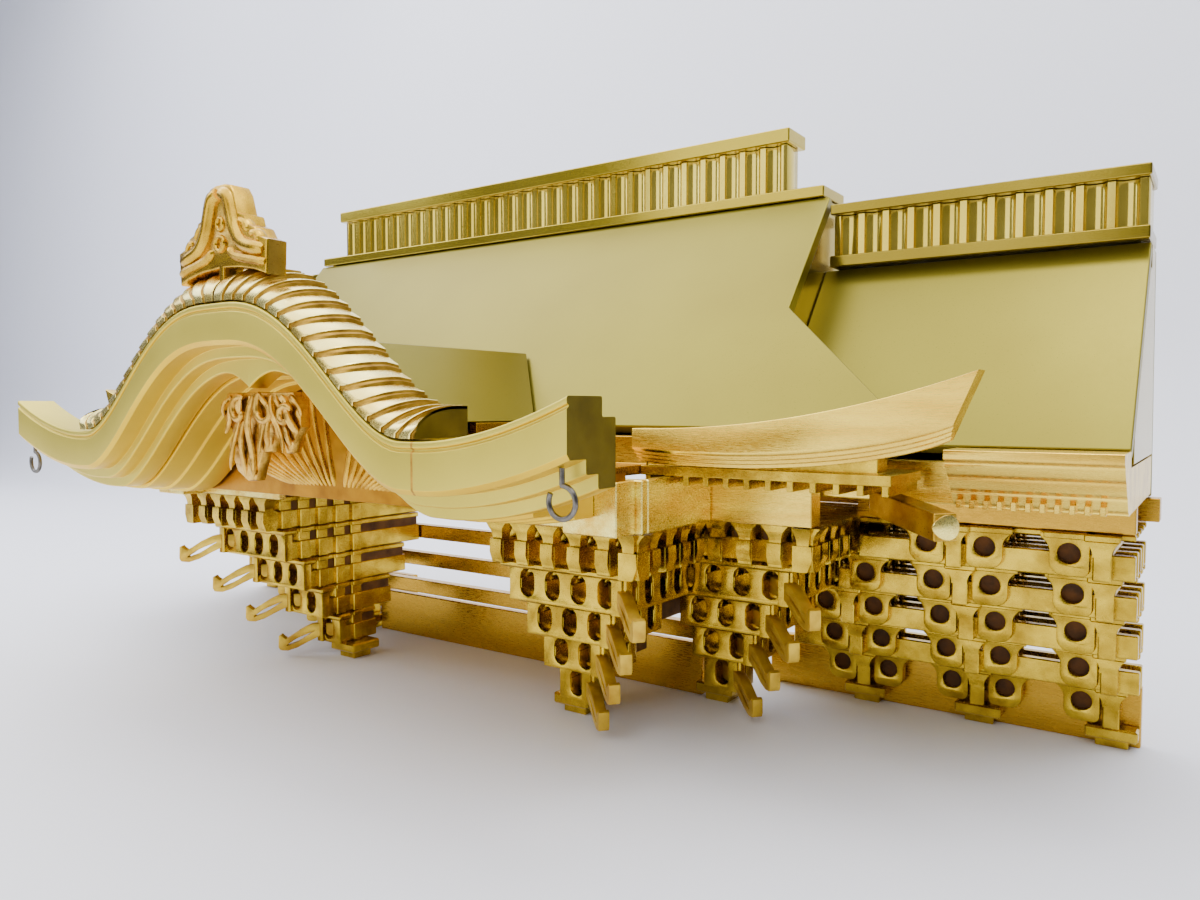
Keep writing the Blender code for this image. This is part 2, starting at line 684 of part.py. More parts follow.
def wing_eave(name, side):
    """Eave of the wing: a stepped moulding under the fascia, and the floor that runs back from it."""
    step_height = (WING_EAVE_TOP_Z - WING_EAVE_BOTTOM_Z) / WING_EAVE_STEPS
    floor_back = BACK_FACE_DEPTH - 2 * BACK_THICKNESS
    boxes = [((REAR_FLOOR_X, WING_END_X), (WING_FLOOR_FRONT, floor_back), (WING_EAVE_BOTTOM_Z, WING_FLOOR_TOP_Z))]
    for i in range(WING_EAVE_STEPS):
        top = WING_EAVE_TOP_Z - i * step_height
        back = WING_FLOOR_FRONT if i else WING_FOOT_DEPTH - GAP
        y = (WING_EAVE_FRONT + i * WING_EAVE_STEP, back)
        boxes.append(((WING_EAVE_INNER_X, WING_END_X), y, (top - step_height, min(top, WING_EAVE_TOP_Z))))
    stacked(name, [(signed(x, side), (y_at(y[0]), y_at(y[1])), z) for x, y, z in boxes], leaf())


def eave_top(share):
    return EAVE_TOP_Z + (EAVE_CORNER_TOP_Z - EAVE_TOP_Z) * share ** EAVE_SWEEP_POWER


def main_eave(name, side):
    """Upswept eave board: it deepens towards the corner, with bead lines stepped back under it and a raked end."""
    back = y_at(EAVE_FRONT + EAVE_THICKNESS)
    rings = []
    for i in range(EAVE_STATIONS + 1):
        share = i / EAVE_STATIONS
        x = side * (EAVE_INNER_X + (EAVE_CORNER_X - EAVE_INNER_X) * share)
        top = eave_top(share)
        z = top - EAVE_HEIGHT - (EAVE_CORNER_HEIGHT - EAVE_HEIGHT) * share
        ring = [(x, back, top), (x, y_at(EAVE_FRONT), top), (x, y_at(EAVE_FRONT), z)]
        for bead in range(1, EAVE_BEAD_COUNT + 1):
            y = y_at(EAVE_FRONT + bead * EAVE_BEAD_STEP)
            ring += [(x, y, z), (x, y, z - EAVE_BEAD_HEIGHT)]
            z -= EAVE_BEAD_HEIGHT
        ring.append((x, back, z))
        rake = side * EAVE_END_RAKE * share ** EAVE_END_POWER
        rings.append([(px - rake * (top - pz), py, pz) for px, py, pz in ring])
    loft(name, rings, leaf())


def eave_frame(name, side):
    """Under the eave board: a fascia plank, the sleeper that carries the slope's foot, and the rafter ends."""
    top = eave_lowest_z() - GAP
    low = top - FASCIA_HEIGHT
    front = EAVE_FRONT + FASCIA_SETBACK
    boxes = [((EAVE_INNER_X, FASCIA_END_X), (front, front + RAFTER_LENGTH), (low, top))]
    sleeper_top = roof_z(ROOF_FOOT_DEPTH) - ROOF_THICKNESS * 0.64 - 2 * GAP
    boxes.append(((EAVE_INNER_X, ROOF_FOOT_HALF_WIDTH - SLEEPER_END_INSET), (SLEEPER_FRONT, SLEEPER_BACK), (top, sleeper_top)))
    pitch = (FASCIA_END_X - EAVE_INNER_X - 2 * RAFTER_WIDTH) / (RAFTER_COUNT - 1)
    for i in range(RAFTER_COUNT):
        x = span(EAVE_INNER_X + RAFTER_WIDTH + i * pitch, RAFTER_WIDTH)
        boxes.append((x, (front + RAFTER_INSET, front + RAFTER_LENGTH), (low - RAFTER_HEIGHT, low)))
    stacked(name, [(signed(x, side), (y_at(y[0]), y_at(y[1])), z) for x, y, z in boxes], leaf())


def eave_lowest_z():
    """The lowest that the swept board comes down to."""
    lows = []
    for i in range(EAVE_STATIONS + 1):
        share = i / EAVE_STATIONS
        height = EAVE_HEIGHT + (EAVE_CORNER_HEIGHT - EAVE_HEIGHT) * share
        lows.append(eave_top(share) - height - EAVE_BEAD_COUNT * EAVE_BEAD_HEIGHT)
    return min(lows)


def corner_rafter(name, side):
    """Square timber that runs out to the eave corner on the diagonal, rising back to the rafters."""
    tip = (CORNER_RAFTER_TIP_X, CORNER_RAFTER_TIP_DEPTH, CORNER_RAFTER_TIP_Z)
    run = math.sqrt(0.5)
    rings = []
    for reach, z in ((0, tip[2]), (CORNER_RAFTER_LENGTH, tip[2] + CORNER_RAFTER_RISE)):
        x, depth = tip[0] - reach * run, tip[1] + reach * run
        off = CORNER_RAFTER_WIDTH / 2 * run
        corners = []
        for across, up in ((-1, 0), (1, 0), (1, 1), (-1, 1)):
            corners.append((side * (x + across * off), y_at(depth + across * off), z + up * CORNER_RAFTER_HEIGHT))
        rings.append(corners)
    loft(name, rings, leaf())


def beams(word, side):
    """Timbers that lie on the brackets and carry the eaves."""
    low = BRACKET_TOP_Z + GAP
    rear = BACK_FACE_DEPTH - PURLIN_THICKNESS
    block(f"wing_back_purlin_{word}", signed((WING_INNER_X, PURLIN_END_X), side),
          (y_at(rear), y_at(BACK_FACE_DEPTH)), (low, min(WING_EAVE_BOTTOM_Z, BACK_BOTTOM_Z) - GAP), leaf())
    front = WING_ROW_DEPTH - (TIER_COUNT - 1) * WING_STEP
    start = tower_edge_x(REAR_TOWER_X, TIER_COUNT) + 2 * GAP
    block(f"wing_front_beam_{word}", signed((start, WING_BRACKET_END_X), side),
          (y_at(front), y_at(front + WING_BAR_WIDTH)), (low, WING_EAVE_BOTTOM_Z - GAP), leaf())
    depth = REAR_TOWER_DEPTH - TIER_COUNT * STEP_Y
    top = eave_lowest_z() - FASCIA_HEIGHT - RAFTER_HEIGHT - 2 * GAP
    block(f"main_eave_beam_{word}", signed((REAR_TOWER_X, tower_edge_x(REAR_TOWER_X, TIER_COUNT)), side),
          (y_at(depth - EAVE_BEAM_THICKNESS / 2), y_at(depth + EAVE_BEAM_THICKNESS / 2)), (low, top), leaf())


# Brackets


def tier_z(tier):
    """Underside of a tier's arms; tier 1 lies on the base block."""
    return BASE_HEIGHT + (tier - 1) * TIER_PITCH


def base_boxes(x, depth_front, depth_back):
    """A base block: a narrow foot under a wider plate."""
    inset = (BASE_WIDTH - BASE_FOOT_WIDTH) / 2
    foot = (span(x, BASE_FOOT_WIDTH), (depth_front + inset, depth_back), (0, BASE_FOOT_HEIGHT))
    return [foot, (span(x, BASE_WIDTH), (depth_front, depth_back), (BASE_FOOT_HEIGHT, BASE_HEIGHT))]


def tower_edge_x(x, tier):
    return x + tier * STEP_X + ARM_WIDTH / 2


def tower_boxes(x, depth, back_limit, shared_x, shared_depth):
    """Corner bracket: every tier steps out one arm further to the front and to the outer side.

    Past shared_x, a tier stops in front of shared_depth(tier), where the neighbouring tower begins."""
    inner = x - ARM_WIDTH / 2
    boxes = [(span(x, BASE_FOOT_WIDTH), span(depth, BASE_FOOT_WIDTH), (0, BASE_FOOT_HEIGHT))]
    boxes.append((span(x, BASE_WIDTH), span(depth, BASE_WIDTH), (BASE_FOOT_HEIGHT, BASE_HEIGHT)))
    for tier in range(1, TIER_COUNT + 1):
        z = (tier_z(tier), tier_z(tier) + ARM_HEIGHT)
        post = (z[0], tier_z(tier + 1))
        back = min(depth + ARM_WIDTH / 2 + tier * STEP_Y, back_limit)
        front = depth - (tier - 1) * STEP_Y - ARM_WIDTH / 2
        edge = tower_edge_x(x, tier - 1)
        parts = [((inner, edge), (front, back), z)]
        parts.append(((edge - ARM_WIDTH, edge), (front, front + ARM_WIDTH), post))
        for step in range(tier):
            parts.append((span(x + step * STEP_X, ARM_WIDTH), (front - STEP_Y, front), post))
            parts.append(((edge, edge + STEP_X), span(depth - step * STEP_Y, ARM_WIDTH), post))
        if tier < TIER_COUNT:
            row = span(depth - tier * STEP_Y, ARM_WIDTH)
            parts.append((span(x + tier * STEP_X, ARM_WIDTH), row, (z[1], post[1])))
        limit = shared_depth(tier)
        for bx, by, bz in parts:
            if bx[1] <= shared_x or by[1] <= limit:
                boxes.append((bx, by, bz))
                continue
            if bx[0] < shared_x:
                boxes.append(((bx[0], shared_x), by, bz))
            if by[0] < limit - ARM_WIDTH / 2:
                boxes.append((bx, (by[0], limit), bz))
    return boxes


def nose(x, depth, tier, side):
    """Diagonal arm under the corner cap: level, then a slope down to an upturned tip."""
    run = math.sqrt(0.5)
    corner = tier * math.hypot(STEP_X, STEP_Y)
    along_x, along_depth = STEP_X / math.hypot(STEP_X, STEP_Y), -STEP_Y / math.hypot(STEP_X, STEP_Y)
    low = tier_z(tier)
    top = low + ARM_HEIGHT
    tip = corner + NOSE_REACH
    inner = corner - math.hypot(STEP_X, STEP_Y)
    level = corner + NOSE_LEVEL_REACH
    if tier < TIER_COUNT:
        profile = [(inner, top + GAP), (level, top + GAP), (tip - 3 * MM, low - NOSE_DROP + NOSE_TIP_HEIGHT - 3 * MM)]
        profile += [(tip, low - NOSE_DROP + NOSE_TIP_HEIGHT), (tip, low - NOSE_DROP)]
        profile += [(tip - NOSE_HEEL, low - NOSE_DROP), (level, top - NOSE_HEIGHT), (inner, top - NOSE_HEIGHT)]
    else:
        end = corner + POINT_REACH
        profile = [(inner, top - GAP), (end, top - 2 * MM), (end, low + 2 * MM), (inner, low + GAP)]
    rings = []
    for across in (-NOSE_WIDTH / 2, NOSE_WIDTH / 2):
        ring = []
        for reach, z in profile:
            px = x + reach * along_x + across * run
            ring.append((side * px, y_at(depth + reach * along_depth + across * run), z))
        rings.append(ring)
    return loft(f"nose_{tier}", rings, leaf())


def rear_front(tier):
    """Where the rear tower's tier begins, for the front tower to stop short of."""
    return REAR_TOWER_DEPTH - tier * STEP_Y - ARM_WIDTH / 2 - GAP


def join(target, others):
    """Boolean union of others into target."""
    for other in others:
        other.hide_render = True
        other.display_type = "WIRE"
        modifier = target.modifiers.new("join_" + other.name, "BOOLEAN")
        modifier.operation = "UNION"
        modifier.object = other


def tower(name, x, depth, back_limit, side, shared_x=WING_END_X, shared_depth=tier_z):
    boxes = tower_boxes(x, depth, back_limit, shared_x, shared_depth)
    body = stacked(name, [(signed(bx, side), (y_at(by[0]), y_at(by[1])), bz) for bx, by, bz in boxes], leaf())
    join(body, [nose(x, depth, tier, side) for tier in range(1, TIER_COUNT + 1)])


def wing_brackets(name, side):
    """Wall bracket with three clusters: tier by tier one more row of bars comes forward."""
    boxes = []
    back = WING_ROW_DEPTH + WING_BAR_WIDTH
    for cluster in WING_CLUSTER_X:
        boxes += base_boxes(cluster, WING_ROW_DEPTH - ARM_WIDTH / 2, back)
    for tier in range(1, TIER_COUNT + 1):
        z = (tier_z(tier), tier_z(tier) + ARM_HEIGHT)
        lift = (z[1], tier_z(tier + 1))
        front = WING_ROW_DEPTH - (tier - 1) * WING_STEP
        for row in range(tier):
            depth = WING_ROW_DEPTH - row * WING_STEP
            clear = depth > REAR_TOWER_DEPTH + ARM_WIDTH
            start = WING_INNER_X if clear else tower_edge_x(REAR_TOWER_X, tier) + 2 * GAP
            y = (depth, depth + WING_BAR_WIDTH)
            if tier > 1:
                boxes.append(((start, WING_BRACKET_END_X), y, z))
            for cluster in WING_CLUSTER_X:
                if row < tier - 1:
                    continue
                for x in (cluster - ELBOW_REACH, cluster, cluster + ELBOW_REACH):
                    cap = span(x, CAP_WIDTH)
                    if cap[0] > start and cap[1] < WING_BRACKET_END_X + CAP_WIDTH / 2:
                        cap = (cap[0], min(cap[1], WING_BRACKET_END_X))
                        boxes.append((cap, y, lift))
        for cluster in WING_CLUSTER_X:
            start = tower_edge_x(REAR_TOWER_X, tier) + 2 * GAP
            if cluster - ARM_WIDTH / 2 > start or front > REAR_TOWER_DEPTH + ARM_WIDTH:
                boxes.append((span(cluster, ARM_WIDTH), (front - ARM_WIDTH / 2, back), z))
            if tier == 1:
                far = min(cluster + ELBOW_REACH + CAP_WIDTH / 2, WING_BRACKET_END_X)
                middle = (z[0] + z[1]) / 2
                boxes.append(((cluster - ELBOW_REACH - CAP_WIDTH / 2, far), (WING_ROW_DEPTH, back), (middle, z[1])))
                foot = ELBOW_REACH * ELBOW_FOOT_SHARE
                far = min(cluster + foot, WING_BRACKET_END_X)
                boxes.append(((cluster - foot, far), (WING_ROW_DEPTH, back), (z[0], middle)))
    stacked(name, [(signed(x, side), (y_at(y[0]), y_at(y[1])), z) for x, y, z in boxes], leaf())


def boards():
    """Low boards behind the base blocks, and the tie bars above the centre one."""
    half = REAR_TOWER_X - BASE_WIDTH / 2 - GAP
    y = span(y_at(REAR_TOWER_DEPTH), BOARD_THICKNESS)
    block("centre_board", (-half, half), y, (0, BOARD_HEIGHT), leaf())
    half = REAR_TOWER_X - ARM_WIDTH / 2 - GAP
    for tier in TIE_TIERS:
        z = tier_z(tier) + (ARM_HEIGHT - TIE_HEIGHT) / 2
        low = max(z, BOARD_HEIGHT + GAP)
        block(f"centre_tie_{tier}", (-half, half), span(y_at(REAR_TOWER_DEPTH), TIE_THICKNESS),
              (low, z + TIE_HEIGHT), leaf())
    for word, side in sides():
        front = WING_ROW_DEPTH + WING_BAR_WIDTH + GAP
        block(f"wing_board_{word}", signed((WING_BOARD_INNER_X, WING_BRACKET_END_X), side),
              (y_at(front), y_at(front + BOARD_THICKNESS)), (0, BOARD_HEIGHT), leaf())


def ceiling():
    """Plank that ties the porch to the roof, over the front towers."""
    top = eave_lowest_z() - GAP
    half = EAVE_INNER_X - GAP
    front = soffit_back() + PANEL_THICKNESS + 2 * GAP
    boxes = [((-half, half), (front, BACK_FACE_DEPTH - BACK_THICKNESS - 4 * MM), (top - FASCIA_HEIGHT, top))]
    low = BRACKET_TOP_Z + GAP
    for side in (1, -1):
        for x, depth in ((FRONT_TOWER_X, FRONT_TOWER_DEPTH), (REAR_TOWER_X, REAR_TOWER_DEPTH)):
            boxes.append((signed(span(x, ARM_WIDTH), side), (depth - 2 * STEP_Y, depth), (low, top - FASCIA_HEIGHT)))
    sleeper_top = roof_z(ROOF_FOOT_DEPTH) - ROOF_THICKNESS * 0.64 - 2 * GAP
    boxes.append(((-half, half), (SLEEPER_FRONT, SLEEPER_BACK), (top, sleeper_top)))
    for side in (1, -1):
        x = signed((DECK_FOOT_HALF - SIDE_BOARD_THICKNESS, DECK_FOOT_HALF), side)
        boxes.append((x, (front, SLEEPER_FRONT), (top, DECK_FOOT_Z - GAP)))
    stacked("porch_ceiling", [(x, (y_at(y[0]), y_at(y[1])), z) for x, y, z in boxes], leaf())


gable()
soffit()
panel()
deck()
finial()
pendant()
main_slope()
roof_back()
main_ridge()
boards()
ceiling()
for word, side in sides():
    ribs(f"porch_ribs_{word}", side)
    hook(f"hook_{word}", side)
    gable_wall(f"main_gable_wall_{word}", side)
    wing_slope(f"wing_roof_slope_{word}", side)
    wing_end(f"wing_end_wall_{word}", side)
    wing_ridge(word, side)
    wing_eave(f"wing_eave_{word}", side)
    main_eave(f"main_eave_board_{word}", side)
    eave_frame(f"main_eave_frame_{word}", side)
    corner_rafter(f"corner_rafter_{word}", side)
    beams(word, side)
    tie_front = REAR_TOWER_DEPTH - TIE_THICKNESS / 2 - GAP
    tower(f"front_tower_{word}", FRONT_TOWER_X, FRONT_TOWER_DEPTH, tie_front, side,
          REAR_TOWER_X - ARM_WIDTH / 2 - GAP, rear_front)
    rear_back = REAR_TOWER_DEPTH + ARM_WIDTH / 2
    tower(f"rear_tower_{word}", REAR_TOWER_X, REAR_TOWER_DEPTH, rear_back, side)
    wing_brackets(f"wing_brackets_{word}", side)
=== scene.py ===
"""Gilded palace roof of a household altar, dressed over its solids.

Lengths in the sections below are millimetres: x to the right, depth back from the front of the porch
gable, and z up from the table. The function piece() turns them into Blender's metres."""

import bmesh
import bpy
import numpy as np
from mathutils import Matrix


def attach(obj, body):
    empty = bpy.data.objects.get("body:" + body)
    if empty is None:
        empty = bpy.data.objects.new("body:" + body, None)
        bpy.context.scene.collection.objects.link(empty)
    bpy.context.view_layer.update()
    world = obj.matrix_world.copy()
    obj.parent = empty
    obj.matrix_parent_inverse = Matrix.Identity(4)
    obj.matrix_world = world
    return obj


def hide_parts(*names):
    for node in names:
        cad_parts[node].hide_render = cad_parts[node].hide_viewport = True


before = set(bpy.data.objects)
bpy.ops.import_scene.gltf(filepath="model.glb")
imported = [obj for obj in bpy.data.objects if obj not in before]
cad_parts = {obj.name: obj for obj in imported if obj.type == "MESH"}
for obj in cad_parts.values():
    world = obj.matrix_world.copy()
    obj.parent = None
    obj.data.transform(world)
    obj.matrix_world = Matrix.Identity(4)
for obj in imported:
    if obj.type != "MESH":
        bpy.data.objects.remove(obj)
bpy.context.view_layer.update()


# Low boards behind the brackets and the tie bars above the middle one.
# Planed cypress, gilded on the face with leaf laid over lacquer, and let in between the towers.

MM = 0.001
SIDES = (("right", 1), ("left", -1))


def linear(code):
    """Linear colour from a hex code: c/12.92 under 0.04045, else ((c + 0.055)/1.055) to the power 2.4."""
    level = np.array([int(code[i : i + 2], 16) for i in (1, 3, 5)]) / 255
    level = np.where(level <= 0.04045, level / 12.92, ((level + 0.055) / 1.055) ** 2.4)
    return (*level.tolist(), 1.0)


def add(tree, kind, inputs, **settings):
    """One shader node with its settings; inputs holds a plain value or the socket that feeds it."""
    node = tree.nodes.new(kind)
    for name, value in settings.items():
        setattr(node, name, value)
    for name, value in inputs.items():
        if isinstance(value, bpy.types.NodeSocket):
            tree.links.new(value, node.inputs[name])
        else:
            node.inputs[name].default_value = value
    return node


def gilding(name, leaf, shade, gloss, grain, relief, stretch=(1, 1, 1), metal=1.0, patch=30, dents=0.0):
    """A gold finish. Colour drifts from leaf to shade in patches about `patch` mm wide, where the leaf lies
    thinner over its ground; roughness drifts with it; brush grain `grain` mm wide stands `relief` mm high,
    and soft dents of the carved wood, 5 mm wide and `dents` mm deep, show through."""
    made = bpy.data.materials.new(name)
    made.use_nodes = True
    tree = made.node_tree
    shader = tree.nodes["Principled BSDF"]
    place = add(tree, "ShaderNodeTexCoord", {}).outputs["Object"]
    drawn = add(tree, "ShaderNodeMapping", {"Vector": place, "Scale": stretch}).outputs["Vector"]
    wear = add(tree, "ShaderNodeTexNoise", {"Vector": drawn, "Scale": 1 / (patch * MM), "Detail": 4})
    sharp = add(tree, "ShaderNodeMapRange", {"Value": wear.outputs["Fac"], "From Min": 0.36,
                                             "From Max": 0.68})
    mixed = add(tree, "ShaderNodeMix", {0: sharp.outputs["Result"], 6: linear(leaf), 7: linear(shade)},
                data_type="RGBA")
    tree.links.new(mixed.outputs[2], shader.inputs["Base Color"])
    fine = add(tree, "ShaderNodeTexNoise", {"Vector": drawn, "Scale": 1 / (grain * MM), "Detail": 3})
    rough = add(tree, "ShaderNodeMapRange", {"Value": fine.outputs["Fac"], "From Min": 0.3, "From Max": 0.7,
                                             "To Min": gloss - 0.05, "To Max": gloss + 0.09})
    tree.links.new(rough.outputs["Result"], shader.inputs["Roughness"])
    bump = add(tree, "ShaderNodeBump", {"Height": fine.outputs["Fac"], "Distance": relief * MM})
    if dents:
        soft = add(tree, "ShaderNodeTexNoise", {"Vector": place, "Scale": 1 / (5 * MM), "Detail": 2})
        bump = add(tree, "ShaderNodeBump", {"Height": soft.outputs["Fac"], "Distance": dents * MM,
                                            "Normal": bump.outputs["Normal"]})
    tree.links.new(bump.outputs["Normal"], shader.inputs["Normal"])
    shader.inputs["Metallic"].default_value = metal
    return made


def finish_piece(made, finish, nodes):
    """Gives a finished object its material, its place on the root and the solids it stands for."""
    made.data.materials.clear()
    made.data.materials.append(finish)
    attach(made, "root")
    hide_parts(*nodes)
    return made


def smooth_by_angle(mesh, degrees=32):
    """Rounds the shading except across edges that turn by more than this."""
    mesh.shade_smooth()
    mesh.set_sharp_from_angle(angle=np.radians(degrees))


def softened(node, edge, finish):
    """A copy of a plain solid, welded and with its corners eased by `edge` mm, as a planed board has."""
    shape = bmesh.new()
    shape.from_mesh(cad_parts[node].data)
    bmesh.ops.remove_doubles(shape, verts=shape.verts, dist=0.02 * MM)
    bmesh.ops.dissolve_limit(shape, angle_limit=0.02, verts=shape.verts, edges=shape.edges)
    mesh = bpy.data.meshes.new(node)
    shape.to_mesh(mesh)
    shape.free()
    made = bpy.data.objects.new(node + "_board", mesh)
    bpy.context.scene.collection.objects.link(made)
    ease = made.modifiers.new("eased_edges", "BEVEL")
    ease.width = edge * MM
    ease.segments = 2
    ease.limit_method = "ANGLE"
    ease.harden_normals = True
    smooth_by_angle(mesh)
    return finish_piece(made, finish, [node])


# Bright leaf on the flat boards: smooth, a little brushed along the grain of the wood.
board_leaf = gilding("gold_leaf_board", "#d6aa3a", "#b88c28", 0.26, 0.5, 0.008, stretch=(0.12, 1, 1),
                     patch=26)
softened("centre_board", 0.7, board_leaf)
for tier in (2, 3, 4, 5):
    softened(f"centre_tie_{tier}", 0.5, board_leaf)
for word, side in SIDES:
    softened(f"wing_board_{word}", 0.7, board_leaf)


# Corner towers: five tiers of bracket arms, each a step further out to the front and to the side.
# Sawn cypress blocks with oval gaps between the posts, halved together, glued and gilded.

BASE_HEIGHT = 9
TIER_PITCH = 16.8
ARM_HEIGHT = 9.8
ARM_WIDTH = 6
HALF_ARM = ARM_WIDTH / 2
STEP_X = 13
STEP_DEPTH = 11.3
TIERS = (1, 2, 3, 4, 5)
CARVED_EDGE = 0.45
LEDGE = 3.0
# Half widths of the foot, of the pad on it, of the posts and of the thin boards over the arms.
FOOT_HALF = 6
FOOT_HEIGHT = 4
PAD_HALF = 9.5
POST_HALF = 3.5
THIN_HALF = 3.4
# Each tower's foot (x, depth), and the depth that its own arms reach back to.
FRONT_TOWER = (79, 131)
REAR_TOWER = (124, 183)
FRONT_ARMS_BACK = 179.7
REAR_ARMS_BACK = 186
# Past this x the front tower's arms stop where the rear tower's tiers begin.
SHARED_X = 120.7
NOTHING_NEAR = 999


def tier_z(tier):
    """Height of a tier's foot: the base block, and one pitch for each tier under it."""
    return BASE_HEIGHT + (tier - 1) * TIER_PITCH


def centred(middle, half):
    """The low and the high end of a stretch that reaches this far each way from its middle."""
    return middle - half, middle + half


def brick(x, depth, z, edge=CARVED_EDGE):
    """A block between three (low, high) pairs with every edge cut at 45 degrees: each corner becomes three
    points, one on each face, set in by `edge` along the other two axes."""
    ends = np.sort(np.array([x, depth, z], float), axis=1)
    corner = np.stack(np.meshgrid([0, 1], [0, 1], [0, 1], indexing="ij"), -1).reshape(8, 3)
    inward = np.where(corner == 0, 1, -1) * edge
    full = ends[np.arange(3), corner]
    points = full[:, None, :] + inward[:, None, :] * (1 - np.eye(3))[None]
    index = {tuple(c): i for i, c in enumerate(corner.tolist())}
    faces = []
    for axis in range(3):
        one, two = (axis + 1) % 3, (axis + 2) % 3
        for end in (0, 1):
            ring = []
            for a, b in ((0, 0), (1, 0), (1, 1), (0, 1)):
                key = [0, 0, 0]
                key[axis], key[one], key[two] = end, a, b
                ring.append(index[tuple(key)] * 3 + axis)
            faces.append(ring)
        for a in (0, 1):
            for b in (0, 1):
                low, high = [0, 0, 0], [0, 0, 0]
                low[one] = high[one] = a
                low[two] = high[two] = b
                high[axis] = 1
                first, second = index[tuple(low)] * 3, index[tuple(high)] * 3
                faces.append([first + one, second + one, second + two, first + two])
    faces += [[3 * i, 3 * i + 1, 3 * i + 2] for i in range(8)]
    return points.reshape(-1, 3), faces


def sawn(outlines, thickness, edge=CARVED_EDGE):
    """A board sawn to flat (x, z) outlines, the first its rim and the others holes, with eased edges.
    Its front lies at depth 0 and its back at depth `thickness`."""
    curve = bpy.data.curves.new("sawn", "CURVE")
    curve.dimensions = "2D"
    curve.fill_mode = "BOTH"
    curve.extrude = thickness / 2 - edge
    curve.bevel_depth = edge
    curve.bevel_resolution = 1
    curve.offset = -edge
    for outline in outlines:
        outline = np.asarray(outline, float)
        spline = curve.splines.new("POLY")
        spline.points.add(len(outline) - 1)
        spline.points.foreach_set("co", np.pad(outline, ((0, 0), (0, 2))).ravel())
        spline.use_cyclic_u = True
    holder = bpy.data.objects.new("sawn", curve)
    bpy.context.scene.collection.objects.link(holder)
    bpy.context.view_layer.update()
    mesh = bpy.data.meshes.new_from_object(holder.evaluated_get(bpy.context.evaluated_depsgraph_get()))
    flat = np.empty(len(mesh.vertices) * 3)
    mesh.vertices.foreach_get("co", flat)
    flat = flat.reshape(-1, 3)
    points = np.stack([flat[:, 0], thickness / 2 - flat[:, 2], flat[:, 1]], -1)
    faces = [list(face.vertices) for face in mesh.polygons]
    bpy.data.objects.remove(holder, do_unlink=True)
    bpy.data.curves.remove(curve)
    bpy.data.meshes.remove(mesh)
    return points, faces


def moved(part, x=0.0, depth=0.0, z=0.0):
    """A part shifted along the three axes."""
    return part[0] + (x, depth, z), part[1]


def turned(part, degrees):
    """Turns a part about the upright axis, to the left seen from above."""
    angle = np.radians(degrees)
    cos, sin = np.cos(angle), np.sin(angle)
    points = part[0].copy()
    points[:, 0] = part[0][:, 0] * cos - part[0][:, 1] * sin
    points[:, 1] = part[0][:, 0] * sin + part[0][:, 1] * cos
    return points, part[1]


def stadium(x, z, width, height):
    """Outline of an upright slot with round ends: two half circles of half the width."""
    turn = np.linspace(0, np.pi, 7)
    radius = width / 2
    top = np.stack([x + radius * np.cos(turn), z + height / 2 - radius + radius * np.sin(turn)], -1)
    low = np.stack([x - radius * np.cos(turn), z - height / 2 + radius - radius * np.sin(turn)], -1)
    return np.concatenate([top, low])


def loft(rings):
    """A closed skin through rings of as many points each, with one flat face on each end."""
    rings = np.asarray(rings, float)
    count, around = rings.shape[:2]
    index = np.arange(count * around).reshape(count, around)
    after = np.roll(index, -1, axis=1)
    quads = np.stack([index[:-1], after[:-1], after[1:], index[1:]], axis=-1).reshape(-1, 4)
    return rings.reshape(-1, 3), [*quads.tolist(), index[0, ::-1].tolist(), index[-1].tolist()]


def flared(x, depth, low, high, narrow, wide, deep=3.2):
    """A short stem that widens in a curve to its top: width = narrow + (wide - narrow) t^2.5, and it stays
    within `deep` of its middle from front to back."""
    t = np.linspace(0, 1, 7)
    half = (narrow + (wide - narrow) * t**2.5) / 2
    rings = np.empty((7, 4, 3))
    for i, (a, b) in enumerate(((-1, -1), (1, -1), (1, 1), (-1, 1))):
        rings[:, i, 0] = x + a * half
        rings[:, i, 1] = depth + b * np.minimum(half, deep)
        rings[:, i, 2] = low + (high - low) * t
    return loft(rings)


def stem_row(pitch, count):
    """The top tier's row from x = -3 on: blunt stems cut back at their feet, each under a flared cap."""
    parts = []
    for i in range(count + 1):
        outline = [(0.9, 0), (3.0, -0.2), (7, -0.2), (7, ARM_HEIGHT), (-0.6, ARM_HEIGHT), (-0.9, 4.6)]
        rings = np.empty((2, 6, 3))
        rings[..., 1:] = outline
        rings[..., 0] = np.array([[i * pitch - 2.9], [i * pitch + 2.9]])
        parts.append(loft(rings))
        parts.append(flared(i * pitch, 3, ARM_HEIGHT - 0.4, TIER_PITCH, 4.8, pitch - 1.6, 3.6))
    return parts


def arcade(pitch, count):
    """A row of posts under one ledge: a board with `count` slots at this pitch, from x = -3 on."""
    far = count * pitch + HALF_ARM
    height = TIER_PITCH - LEDGE + 0.4
    rim = [(-HALF_ARM, 0), (far, 0), (far, height), (-HALF_ARM, height)]
    holes = [stadium((i + 0.5) * pitch, 7.7, pitch - ARM_WIDTH + 0.4, 11.6) for i in range(count)]
    return sawn([rim, *holes], ARM_WIDTH - 1.2)


# The frame's middle lies this far behind the front of the gable.
FRONT_TO_MIDDLE = 114


def face_values(mesh, name, width=3):
    """One row for each face of a mesh: its normal, its centre or its material's number."""
    values = np.empty(len(mesh.polygons) * width, np.float32)
    mesh.polygons.foreach_get(name, values)
    return values.reshape(-1, width)


